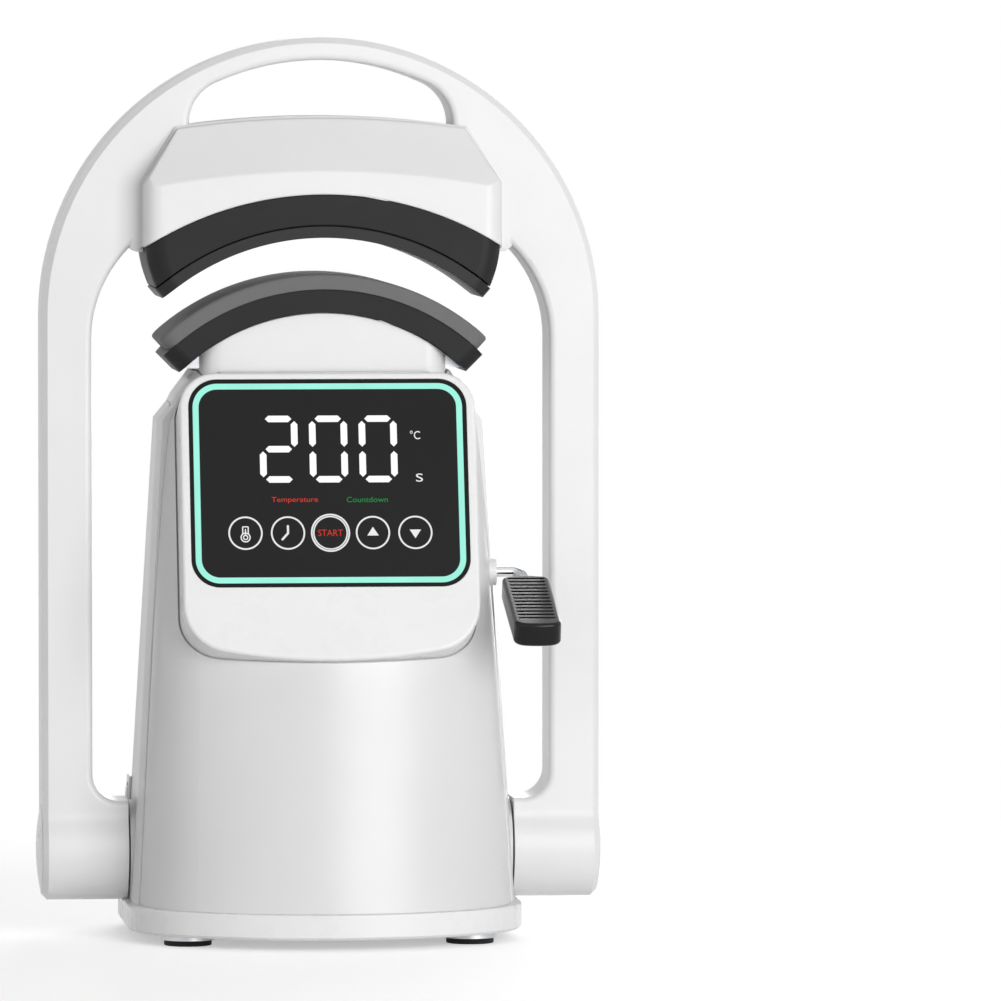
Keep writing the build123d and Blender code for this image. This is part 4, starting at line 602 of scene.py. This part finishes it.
Finish = Union[
    MouldedPlastic, BrushedSteel, Coating, SoftRubber, Glow, SmokedGlass, Laminate, Fibre
]


def only(piece: bpy.types.Object) -> None:
    """Selects this object alone and makes it the active one."""
    bpy.ops.object.select_all(action="DESELECT")
    piece.select_set(True)
    bpy.context.view_layer.objects.active = piece


def named(name: str) -> bpy.types.Object:
    """Names the object that an operator has just added.

    Args:
        name: for the object and its mesh.

    Returns:
        The object.
    """
    piece = bpy.context.active_object
    piece.name = name
    piece.data.name = name
    return piece


def settle(piece: bpy.types.Object, place: Matrix) -> None:
    """Moves a piece from its working place at the origin to the object's frame.

    Args:
        piece: a mesh.
        place: where its working frame stands.
    """
    piece.matrix_world = place @ piece.matrix_world
    only(piece)
    bpy.ops.object.transform_apply(location=True, rotation=True, scale=True)


def joined(pieces: Sequence[bpy.types.Object], name: str) -> bpy.types.Object:
    """Makes one piece of several.

    Args:
        pieces: meshes, of which the first takes the others in.
        name: for the result.

    Returns:
        The piece.
    """
    bpy.ops.object.select_all(action="DESELECT")
    for piece in pieces:
        piece.select_set(True)
    bpy.context.view_layer.objects.active = pieces[0]
    if len(pieces) > 1:
        bpy.ops.object.join()
    return named(name)


def thicken(piece: bpy.types.Object, height: float) -> None:
    """Pulls a flat piece up into a plate of this height, closed all round.

    Args:
        piece: a flat mesh in its working XY plane.
        height: how far its face rises.
    """
    only(piece)
    bpy.ops.object.mode_set(mode="EDIT")
    bpy.ops.mesh.select_all(action="SELECT")
    bpy.ops.mesh.extrude_region_move(TRANSFORM_OT_translate={"value": (0, 0, height)})
    bpy.ops.mesh.select_all(action="SELECT")
    bpy.ops.mesh.normals_make_consistent(inside=False)
    bpy.ops.object.mode_set(mode="OBJECT")


def finish_piece(
    piece: bpy.types.Object, material: bpy.types.Material, body: str
) -> None:
    """Dresses a finished piece and ties it to what it moves with.

    Args:
        piece: in its place.
        material: its finish.
        body: the CAD body that carries it.
    """
    piece.data.materials.clear()
    piece.data.materials.append(material)
    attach(piece, body)
    LOG.info("piece %s on %s", piece.name, body)


@dataclass(frozen=True)
class Label:
    """A word on the glass, in millimetres from the middle of the panel.

    Attributes:
        text: what it says.
        x: of its middle, across the panel.
        y: of its middle, up the panel.
        height: of its tallest letter.
        width: of the whole word.
    """

    text: str
    x: float
    y: float
    height: float
    width: float


@dataclass(frozen=True)
class Sign:
    """One lit piece that is made of words.

    Attributes:
        name: of the piece.
        glow: its finish.
        labels: its words.
    """

    name: str
    glow: Glow
    labels: tuple[Label, ...]


@dataclass
class TouchPanel:
    """What lights up on the leaning glass: digits, words and the five touch keys.

    Attributes:
        lean: of the glass, from upright.
        glass_thickness: of the glass.
        ring_inset: of the light ring from the glass's edge.
        ring_width: of the light ring.
        corner: radius of the glass's corners.
        lift: gap between the glass and what lights up on it.
        relief: thickness of what lights up.
        digit_pitch: from one digit to the next.
        digit_half_width: from a digit's middle to its upright segments.
        digit_half_height: from a digit's middle to its top segment.
        digit_centre: height of the digits' middle over the panel's.
        segment: width of a segment.
        segment_length: from tip to tip.
        key_pitch: from one key to the next.
        key_height: height of the keys' middle over the panel's.
        key_radius: of the ring round a key.
        start_radius: of the outer ring round the middle key.
        start_step: from that ring to the one inside it.
        start_stroke: width of the inner one.
        stroke: width of the other rings round keys.
        tube_stroke: width of the lines of the thermometer.
        bulb_drop: from the key's middle down to the bulb's.
        bulb_radius: of the thermometer's bulb.
        mercury_radius: of the ring in the bulb.
        mercury_stroke: width of that ring.
        hand_stroke: width of the timer's hands.
        arrow_radius: from an arrow's middle to its tips.
        arrow_squash: height of an arrow as a share of an even one's.
    """

    KEY_ROW = -23.2  # millimetres from the middle of the panel

    lean: float = math.radians(16.8)
    glass_thickness: float = 2.0 * MM
    ring_inset: float = 1.9 * MM
    ring_width: float = 2.7 * MM
    corner: float = 13.0 * MM
    lift: float = 0.03 * MM
    relief: float = 0.05 * MM
    digit_pitch: float = 22.5 * MM
    digit_half_width: float = 7.15 * MM
    digit_half_height: float = 14.1 * MM
    digit_centre: float = 15.8 * MM
    segment: float = 3.0 * MM
    segment_length: float = 12.0 * MM
    key_pitch: float = 19.2 * MM
    key_height: float = KEY_ROW * MM
    key_radius: float = 7.75 * MM
    start_radius: float = 8.85 * MM
    start_step: float = 1.0 * MM
    start_stroke: float = 0.6 * MM
    stroke: float = 0.75 * MM
    tube_stroke: float = 0.55 * MM
    bulb_drop: float = 2.0 * MM
    bulb_radius: float = 2.3 * MM
    mercury_radius: float = 1.2 * MM
    mercury_stroke: float = 0.5 * MM
    hand_stroke: float = 1.0 * MM
    arrow_radius: float = 3.0 * MM
    arrow_squash: float = 0.9

    SEGMENTS = {
        "top": (0, 1, True), "middle": (0, 0, True), "bottom": (0, -1, True),
        "upper_left": (-1, 0.5, False), "upper_right": (1, 0.5, False),
        "lower_left": (-1, -0.5, False), "lower_right": (1, -0.5, False),
    }
    TWO = ("top", "upper_right", "middle", "lower_left", "bottom")
    ZERO = ("top", "upper_left", "upper_right", "lower_left", "lower_right", "bottom")
    SHOWN = (TWO, ZERO, ZERO)
    SIGNS = (
        Sign("unit_signs", Glow("lit_unit", grey(0.85)), (
            Label("°C", 39.4, 22.2, 4.0, 4.6),
            Label("S", 40.9, 2.3, 3.8, 3.2),
        )),
        Sign("temperature_sign", Glow("lit_red", (0.66, 0.035, 0.02)), (
            Label("Temperature", -15.8, -8.0, 3.0, 21.0),
        )),
        Sign("countdown_sign", Glow("lit_green", (0.012, 0.25, 0.06)), (
            Label("Countdown", 17.0, -7.8, 2.5, 18.6),
        )),
    )
    START = Sign("key_start_word", Glow("lit_start", (0.60, 0.035, 0.02)), (
        Label("START", 0.0, KEY_ROW, 3.0, 11.2),
    ))
    # Bars of the icons: the place of each from its key's middle and its length, in
    # millimetres, and its turn
    TUBE = (
        (-1.25, 1.3, 3.4, UPRIGHT), (1.25, 1.3, 3.4, UPRIGHT),
        (0.0, 2.95, 2.6, 0.0), (0.0, 0.4, 3.2, UPRIGHT),
    )
    HANDS = ((0.0, 1.55, 4.2, UPRIGHT), (-1.35, -1.6, 4.6, math.radians(48)))
    DIGIT_GLOW = Glow("lit_digit", grey(1.0))
    KEY_GLOW = Glow("lit_key", grey(0.82))

    def __post_init__(self) -> None:
        """Finds the glass in the frame."""
        low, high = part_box("glass_panel")
        self.out = Vector((0, -math.cos(self.lean), math.sin(self.lean)))
        self.up = Vector((0, math.sin(self.lean), math.cos(self.lean)))
        self.face = (low + high) / 2 + self.out * self.glass_thickness / 2
        self.half_width = (high.x - low.x) / 2
        rise = high.z - low.z - self.glass_thickness * math.sin(self.lean)
        self.half_height = rise / math.cos(self.lean) / 2
        place = Matrix((Vector((1, 0, 0)), self.up, self.out)).transposed().to_4x4()
        self.place = Matrix.Translation(self.face + self.out * self.lift) @ place

    def glass_finish(self) -> SmokedGlass:
        """The glass, with its paler middle inside the light ring."""
        inset = self.ring_inset + self.ring_width / 2
        return SmokedGlass(
            "smoked_glass", grey(0.003), grey(0.008), self.face, self.up,
            self.half_width - inset, self.half_height - inset, self.corner - inset,
        )

    def bar(self, x: float, y: float, length: float, width: float, turn: float) -> bpy.types.Object:
        """A flat bar with pointed ends.

        Args:
            x: of its middle, across the panel.
            y: of its middle, up the panel.
            length: from tip to tip.
            width: of the bar.
            turn: in radians, from level.

        Returns:
            The flat piece.
        """
        bpy.ops.mesh.primitive_circle_add(vertices=6, radius=width / 2, fill_type="NGON")
        piece = named("bar")
        for vertex in piece.data.vertices:
            across, along = vertex.co.x, vertex.co.y
            tip = abs(across) < width * 0.1
            reach = length / 2 if tip else (length - width) / 2
            vertex.co.x = math.copysign(reach, along)
            vertex.co.y = 0.0 if tip else math.copysign(width / 2, across)
        settle(piece, Matrix.Translation((x, y, 0)) @ Matrix.Rotation(turn, 4, "Z"))
        return piece

    def rounded_bar(
        self, x: float, y: float, length: float, width: float, turn: float
    ) -> bpy.types.Object:
        """A flat bar with round ends.

        Args:
            x: of its middle, across the panel.
            y: of its middle, up the panel.
            length: from end to end.
            width: of the bar.
            turn: in radians, from level.

        Returns:
            The flat piece.
        """
        bpy.ops.mesh.primitive_circle_add(vertices=24, radius=width / 2, fill_type="NGON")
        piece = named("bar")
        for vertex in piece.data.vertices:
            vertex.co.x += math.copysign((length - width) / 2, vertex.co.x)
        settle(piece, Matrix.Translation((x, y, 0)) @ Matrix.Rotation(turn, 4, "Z"))
        return piece

    def ring(self, x: float, y: float, radius: float, width: float) -> bpy.types.Object:
        """A flat ring.

        Args:
            x: of its middle, across the panel.
            y: of its middle, up the panel.
            radius: outside.
            width: of its band.

        Returns:
            The flat piece.
        """
        bpy.ops.mesh.primitive_circle_add(
            vertices=72, radius=radius, fill_type="NGON", location=(x, y, 0)
        )
        piece = named("ring")
        settle(piece, Matrix())
        bpy.ops.object.mode_set(mode="EDIT")
        bpy.ops.mesh.select_all(action="SELECT")
        bpy.ops.mesh.inset(thickness=width, depth=0)
        bpy.ops.mesh.delete(type="FACE")
        bpy.ops.object.mode_set(mode="OBJECT")
        return piece

    def word(self, label: Label) -> bpy.types.Object:
        """A word, as a flat piece.

        Args:
            label: what it says, where and how large.

        Returns:
            The flat piece.
        """
        bpy.ops.object.text_add()
        text = bpy.context.active_object
        text.data.body = label.text
        text.data.resolution_u = 4
        only(text)
        bpy.ops.object.convert(target="MESH")
        piece = named("word")
        xs = [v.co.x for v in piece.data.vertices]
        ys = [v.co.y for v in piece.data.vertices]
        wide, tall = max(xs) - min(xs), max(ys) - min(ys)
        scale = Vector((label.width * MM / wide, label.height * MM / tall))
        middle = Vector(((max(xs) + min(xs)) / 2, (max(ys) + min(ys)) / 2))
        for vertex in piece.data.vertices:
            vertex.co.x = label.x * MM + (vertex.co.x - middle.x) * scale.x
            vertex.co.y = label.y * MM + (vertex.co.y - middle.y) * scale.y
            vertex.co.z = 0.0
        return piece

    def finish_sign(self, parts: Sequence[bpy.types.Object], name: str, glow: Glow) -> None:
        """Joins flat parts, gives them their thickness and puts them on the glass.

        Args:
            parts: flat pieces.
            name: of the result.
            glow: its finish.
        """
        sign = joined(parts, name)
        thicken(sign, self.relief)
        settle(sign, self.place)
        finish_piece(sign, glow.material(), "base")

    def digits(self) -> None:
        """The three lit digits."""
        for number, shown in enumerate(self.SHOWN):
            middle = (number - 1) * self.digit_pitch
            bars = []
            for name in shown:
                side, level, flat = self.SEGMENTS[name]
                bars.append(
                    self.bar(
                        middle + side * self.digit_half_width,
                        self.digit_centre + level * self.digit_half_height,
                        self.segment_length,
                        self.segment,
                        0.0 if flat else UPRIGHT,
                    )
                )
            self.finish_sign(bars, f"digit_{number + 1}", self.DIGIT_GLOW)

    def words(self, signs: Sequence[Sign]) -> None:
        """Makes lit words.

        Args:
            signs: what they say and how they glow.
        """
        for sign in signs:
            self.finish_sign([self.word(label) for label in sign.labels], sign.name, sign.glow)

    def bars(
        self, x: float, y: float, places: Sequence[tuple], stroke: float
    ) -> list[bpy.types.Object]:
        """The bars of one key's icon.

        Args:
            x: of the key's middle, across the panel.
            y: of the key's middle, up the panel.
            places: of the bars, as in TUBE.
            stroke: their width.

        Returns:
            The flat pieces.
        """
        return [
            self.rounded_bar(x + across * MM, y + up * MM, length * MM, stroke, turn)
            for across, up, length, turn in places
        ]

    def thermometer(self, x: float, y: float) -> list[bpy.types.Object]:
        """The first key's icon, with its middle at x and y."""
        bulb = y - self.bulb_drop
        return [
            self.ring(x, y, self.key_radius, self.stroke),
            self.ring(x, bulb, self.bulb_radius, self.tube_stroke),
            self.ring(x, bulb, self.mercury_radius, self.mercury_stroke),
            *self.bars(x, y, self.TUBE, self.tube_stroke),
        ]

    def timer(self, x: float, y: float) -> list[bpy.types.Object]:
        """The second key's icon, two hands of a clock."""
        ring = self.ring(x, y, self.key_radius, self.stroke)
        return [ring, *self.bars(x, y, self.HANDS, self.hand_stroke)]

    def start_rings(self, y: float) -> list[bpy.types.Object]:
        """The double ring round the middle key."""
        inner = self.start_radius - self.start_step
        return [
            self.ring(0.0, y, self.start_radius, self.stroke),
            self.ring(0.0, y, inner, self.start_stroke),
        ]

    def arrow(self, x: float, y: float, turn: float) -> list[bpy.types.Object]:
        """The icon of a key that raises or lowers a value.

        Args:
            x: of its middle, across the panel.
            y: of its middle, up the panel.
            turn: in radians, from pointing up.

        Returns:
            The key's ring and the arrow in it.
        """
        bpy.ops.mesh.primitive_circle_add(
            vertices=3, radius=self.arrow_radius, fill_type="NGON"
        )
        arrow = named("arrow")
        squash = Matrix.Diagonal((1, self.arrow_squash, 1, 1))
        settle(arrow, Matrix.Translation((x, y, 0)) @ (Matrix.Rotation(turn, 4, "Z") @ squash))
        return [self.ring(x, y, self.key_radius, self.stroke), arrow]

    def keys(self) -> None:
        """The five touch keys."""
        y, near, far = self.key_height, self.key_pitch, 2 * self.key_pitch
        self.finish_sign(self.thermometer(-far, y), "key_thermometer", self.KEY_GLOW)
        self.finish_sign(self.timer(-near, y), "key_timer", self.KEY_GLOW)
        self.finish_sign(self.start_rings(y), "key_start_rings", self.KEY_GLOW)
        self.words([self.START])
        self.finish_sign(self.arrow(near, y, 0.0), "key_up", self.KEY_GLOW)
        self.finish_sign(self.arrow(far, y, -math.pi), "key_down", self.KEY_GLOW)

    def build(self) -> None:
        """Makes everything that the glass shows."""
        self.digits()
        self.words(self.SIGNS)
        self.keys()


@dataclass
class Fasteners:
    """Painted shadow in the cross recesses of the screws that hold the arch's two shells together,
    as flat dark crosses on their heads.

    Attributes:
        node: the screws' part.
        arm: from the middle of a cross to the tip of an arm.
        blade: from the middle of the square that a cross is drawn from to its corners.
        relief: thickness of a cross.
        waist: how far the square's sides are drawn in between the arms.
        face_depth: how near the rearmost point a head's points lie.
    """

    node: str = "arch_screws"
    arm: float = 1.9 * MM
    blade: float = 0.55 * MM
    relief: float = 0.04 * MM
    waist: float = 0.75
    face_depth: float = 0.01 * MM

    def heads(self) -> list[Vector]:
        """The middles of the screws' flat heads, at the back of the arch."""
        points = [vertex.co for vertex in frame["nodes"][self.node].data.vertices]
        back = max(point.y for point in points)
        rims: list[list[Vector]] = []
        reach = 4 * self.arm
        for point in (p for p in points if p.y > back - self.face_depth):
            near = [rim for rim in rims if (rim[0] - point).length < reach]
            if near:
                near[0].append(point)
            else:
                rims.append([point])
        return [self.middle(rim) for rim in rims]

    def middle(self, rim: Sequence[Vector]) -> Vector:
        """The middle of the box round some points."""
        low = Vector([min(p[k] for p in rim) for k in range(3)])
        high = Vector([max(p[k] for p in rim) for k in range(3)])
        return (low + high) / 2

    def cross(self) -> bpy.types.Object:
        """A flat cross with tapered arms, made at the origin."""
        bpy.ops.mesh.primitive_circle_add(vertices=4, radius=self.blade, fill_type="NGON")
        piece = named("cross")
        only(piece)
        bpy.ops.object.mode_set(mode="EDIT")
        bpy.ops.mesh.select_all(action="SELECT")
        bpy.ops.mesh.subdivide(number_cuts=1)
        bpy.ops.object.mode_set(mode="OBJECT")
        for vertex in piece.data.vertices:
            at_tip = vertex.co.length > self.blade * 0.9
            vertex.co *= self.arm / self.blade if at_tip else self.waist
        return piece

    def build(self) -> None:
        """Makes a flat dark cross of painted recess shadow for each screw."""
        # Painted shadow: near-black flat crosses stand in for the shade inside the screws' cross
        # recesses.
        dark = MouldedPlastic("recess_shadow", grey(0.02), grey(0.015), 0.6, edge=0.0).material()
        out = Matrix.Rotation(-math.pi / 2, 4, "X")
        pattern = self.cross()
        thicken(pattern, self.relief)
        for number, head in enumerate(self.heads()):
            piece = pattern.copy()
            piece.data = pattern.data.copy()
            bpy.context.scene.collection.objects.link(piece)
            piece.name = f"screw_recess_shadow_{number + 1}"
            settle(piece, Matrix.Translation(head) @ out)
            finish_piece(piece, dark, "arch")
        bpy.data.objects.remove(pattern)


@dataclass
class SwitchMarks:
    """The bar and the ring on the two halves of the power switch's rocker.

    Attributes:
        node: the rocker's part.
        size: length of the bar and width of the ring.
        stroke: width of their lines.
        relief: their thickness.
        height_share: how far up its half a mark stands.
        facing: how squarely a marked face looks outward, at least.
        skew: how far it may look to one side.
    """

    node: str = "power_rocker"
    size: float = 2.6 * MM
    stroke: float = 0.45 * MM
    relief: float = 0.05 * MM
    height_share: float = 0.5
    facing: float = 0.8
    skew: float = 0.05

    def build(self, panel: TouchPanel) -> None:
        """Puts a mark on the middle of each half.

        Args:
            panel: what makes flat rings and bars.
        """
        dark = MouldedPlastic("mark_ink", grey(0.03), grey(0.02), 0.5, edge=0.0).material()
        low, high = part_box(self.node)
        middle = (low + high) / 2
        for name, upper in (("mark_on", True), ("mark_off", False)):
            face = self.half(middle.z, upper)
            shape = (
                panel.rounded_bar(0, 0, self.size, self.stroke, UPRIGHT) if upper
                else panel.ring(0, 0, self.size / 2, self.stroke)
            )
            mark = joined([shape], name)
            thicken(mark, self.relief)
            level = Vector((0, -1, 0))
            rise = face.normal.cross(level)
            turn = Matrix((level, rise, face.normal)).transposed().to_4x4()
            offset = (high.z - low.z) * self.height_share / 2
            height = middle.z + (offset if upper else -offset)
            slide = (height - face.center.z) / rise.z
            spot = Vector((face.center.x, middle.y, face.center.z)) + rise * slide
            settle(mark, Matrix.Translation(spot) @ turn)
            finish_piece(mark, dark, "rocker")

    def half(self, middle: float, upper: bool) -> bpy.types.MeshPolygon:
        """The large outward face of one half of the rocker.

        Args:
            middle: height of the rocker's middle.
            upper: whether it is the half above that.

        Returns:
            The face.
        """
        faces = [
            face for face in frame["nodes"][self.node].data.polygons
            if face.normal.x < -self.facing and abs(face.normal.y) < self.skew
            and (face.center.z > middle) == upper
        ]
        return max(faces, key=lambda face: face.area)


@dataclass
class Casework:
    """The finishes of the press's own parts, by the record's material slots."""

    panel: TouchPanel

    def finishes(self) -> dict[str, Finish]:
        """One finish for each slot of the record."""
        return {
            "white_shell": MouldedPlastic("white_shell", grey(0.80), grey(0.78), 0.36),
            "white_trim": MouldedPlastic("white_trim", grey(0.82), grey(0.80), 0.28),
            "black_plastic": MouldedPlastic(
                "black_plastic", grey(0.0125), grey(0.0105), 0.5, gloss=0.2
            ),
            "grip_plastic": MouldedPlastic(
                "grip_plastic", grey(0.007), grey(0.005), 0.22,
                grain=0.25 * MM, depth=0.008 * MM, gloss=0.25,
            ),
            "plate_coating": Coating("plate_coating", grey(0.013), grey(0.06), 0.45),
            "silicone": SoftRubber("silicone", grey(0.155), grey(0.20), 0.75, 0.05),
            "rubber": SoftRubber("foot_rubber", grey(0.006), grey(0.02), 0.8, 0.05),
            "steel": BrushedSteel("zinc_steel", (0.58, 0.59, 0.61), Axis.X, 0.40),
            "bright_steel": BrushedSteel("bright_steel", (0.78, 0.79, 0.81), Axis.Z, 0.14),
            "bronze": BrushedSteel("sintered_bronze", (0.60, 0.38, 0.18), Axis.X, 0.45),
            "black_glass": self.panel.glass_finish(),
            "mint_light": Glow("mint_light", (0.35, 0.90, 0.74)),
            "circuit_board": Laminate("circuit_board"),
            "component": MouldedPlastic("component", grey(0.02), grey(0.03), 0.55),
            "insulation": Fibre("ceramic_fibre"),
        }

    def exceptions(self) -> dict[Finish, tuple[str, ...]]:
        """Finishes of the parts that differ from the rest of their slot, with the column's shells
        in a darker white that is painted shade.
        """
        # Painted shade: the column's shells are the same white plastic as the arch, coloured darker
        # to stand in for the shade on the column.
        column_painted_shade = MouldedPlastic("column_shell_painted_shade", grey(0.72), grey(0.70), 0.34)
        hood = MouldedPlastic("hood_shell", grey(0.80), grey(0.78), 0.36, edge=1.5 * MM)
        return {
            column_painted_shade: ("front_shell", "rear_shell", "side_cover_left", "side_cover_right"),
            hood: ("hood_front", "hood_rear"),
        }

    def dress(self) -> None:
        """Gives every part of the frame its material."""
        made = {slot: finish.material() for slot, finish in self.finishes().items()}
        own = {}
        for finish, nodes in self.exceptions().items():
            own.update(dict.fromkeys(nodes, finish.material()))
        for part in frame["record"]["subparts"]:
            name, slot = part["node"], part["material_slot"]
            node = frame["nodes"][name]
            node.data.materials.clear()
            node.data.materials.append(own.get(name, made[slot]))
            LOG.info("part %s has %s", name, node.data.materials[0].name)


@dataclass(frozen=True)
class Lamp:
    """A square soft light that faces the object.

    Attributes:
        name: of the lamp.
        place: where it stands.
        size: of its side.
        watts: its power.
    """

    name: str
    place: tuple[float, float, float]
    size: float
    watts: float


@dataclass
class Studio:
    """The floor, the light and the camera.

    Attributes:
        azimuth: how far the camera stands to the left of the front.
        distance: from the camera to the object.
        height: of the camera.
        pixel: what one pixel spans at the object.
        frame_size: of the square picture, in pixels.
        object_column: where the object's axis falls, in pixels from the left.
        horizon_row: where the camera's own height falls, in pixels from the top.
        sensor: width of the camera's sensor, in millimetres.
        floor_radius: of the floor.
        floor_level: brightness of the floor's own colour.
        floor_glow: light that the camera sees the floor give off.
        shade_start: distance from the origin at which the floor starts to turn white.
        shade_end: distance at which it is white.
        ambient: strength of the light from all round.
        aim: height that the lamps face.
    """

    azimuth: float = math.radians(4.5)
    distance: float = 4.7
    height: float = 0.4154
    pixel: float = 0.457 * MM
    frame_size: int = 1001
    object_column: float = 317.6
    horizon_row: float = 24.0
    sensor: float = 36.0
    floor_radius: float = 6.0
    floor_level: float = 0.86
    floor_glow: float = 0.4
    shade_start: float = 0.28
    shade_end: float = 0.80
    ambient: float = 0.34
    aim: float = 0.2

    LAMPS = (
        Lamp("key", (1.1, -2.4, 0.55), 1.6, 51.0),
        Lamp("fill", (-1.6, -1.8, 0.7), 1.4, 5.0),
        Lamp("rear", (0.9, 2.3, 0.8), 1.6, 30.0),
    )

    def floor(self) -> None:
        """A pale floor that keeps the object's shadow and runs out into white."""
        bpy.ops.object.select_all(action="DESELECT")
        bpy.ops.mesh.primitive_circle_add(
            vertices=96, radius=self.floor_radius, fill_type="NGON", location=(0, 0, 0)
        )
        piece = named("studio_floor")
        paint = Paint("studio_floor")
        paint.set(Base_Color=grey(self.floor_level), Roughness=0.7, Specular_IOR_Level=0.1)
        tree = paint.tree
        light = paint.add("Emission", {}, {"Color": grey(1.0), "Strength": self.floor_glow})
        plain = paint.add("Emission", {}, {"Color": grey(1.0), "Strength": 1.0})
        total = paint.add("AddShader", {}, {})
        tree.links.new(paint.shader.outputs[0], total.inputs[0])
        tree.links.new(light.outputs[0], total.inputs[1])
        x, y = paint.axis(Axis.X), paint.axis(Axis.Y)
        away = (x * x + y * y).root().step(self.shade_start, self.shade_end)
        white = paint.add("MixShader", {}, {0: away})
        tree.links.new(total.outputs[0], white.inputs[1])
        tree.links.new(plain.outputs[0], white.inputs[2])
        path = paint.add("LightPath", {}, {})
        seen = Signal(tree, path.outputs["Is Camera Ray"])
        seen = seen.above(Signal(tree, path.outputs["Is Glossy Ray"]))
        choice = paint.add("MixShader", {}, {0: seen})
        tree.links.new(paint.shader.outputs[0], choice.inputs[1])
        tree.links.new(white.outputs[0], choice.inputs[2])
        tree.links.new(choice.outputs[0], tree.nodes["Material Output"].inputs["Surface"])
        piece.data.materials.append(paint.material)

    def world(self) -> None:
        """Even light from all round, and a white background."""
        world = bpy.data.worlds.new("studio")
        bpy.context.scene.world = world
        world.use_nodes = True
        tree = world.node_tree
        background = tree.nodes["Background"]
        background.inputs["Color"].default_value = (1.0, 1.0, 1.0, 1.0)
        path = tree.nodes.new("ShaderNodeLightPath")
        seen = Signal(tree, path.outputs["Is Camera Ray"])
        for name in ("Is Glossy Ray", "Is Transmission Ray"):
            seen = seen.above(Signal(tree, path.outputs[name]))
        strength = self.ambient + seen * (1 - self.ambient)
        tree.links.new(strength.socket, background.inputs["Strength"])

    def light(self, lamp: Lamp) -> None:
        """Puts up one lamp.

        Args:
            lamp: what it is like and where it stands.
        """
        data = bpy.data.lights.new(lamp.name, "AREA")
        data.size = lamp.size
        data.energy = lamp.watts
        stand = bpy.data.objects.new(lamp.name, data)
        bpy.context.scene.collection.objects.link(stand)
        stand.location = lamp.place
        aim = Vector((0, 0, self.aim)) - Vector(lamp.place)
        stand.rotation_euler = aim.to_track_quat("-Z", "Y").to_euler()

    def camera(self) -> None:
        """A distant camera a little to the left, level with the top of the arch."""
        scale = self.pixel / self.distance
        middle = (self.frame_size - 1) / 2
        ahead = Vector((math.sin(self.azimuth), math.cos(self.azimuth), 0))
        right = Vector((math.cos(self.azimuth), -math.sin(self.azimuth), 0))
        look = ahead + right * (middle - self.object_column) * scale
        look -= Vector((0, 0, (middle - self.horizon_row) * scale))
        data = bpy.data.cameras.new("camera")
        data.sensor_width = self.sensor
        data.lens = data.sensor_width / (self.frame_size * scale)
        camera = bpy.data.objects.new("camera", data)
        bpy.context.scene.collection.objects.link(camera)
        camera.location = Vector((0, 0, self.height)) - ahead * self.distance
        camera.rotation_euler = look.to_track_quat("-Z", "Y").to_euler()
        bpy.context.scene.camera = camera

    def build(self) -> None:
        """Sets the studio up."""
        self.floor()
        self.world()
        for lamp in self.LAMPS:
            self.light(lamp)
        self.camera()
        bpy.context.scene.view_settings.view_transform = "Standard"


def main() -> None:
    """Builds the press's looks around its frame."""
    logging.basicConfig(level=logging.INFO)
    Studio().build()
    panel = TouchPanel()
    Casework(panel).dress()
    panel.build()
    Fasteners().build()
    SwitchMarks().build(panel)


if __name__ == "__main__":
    main()
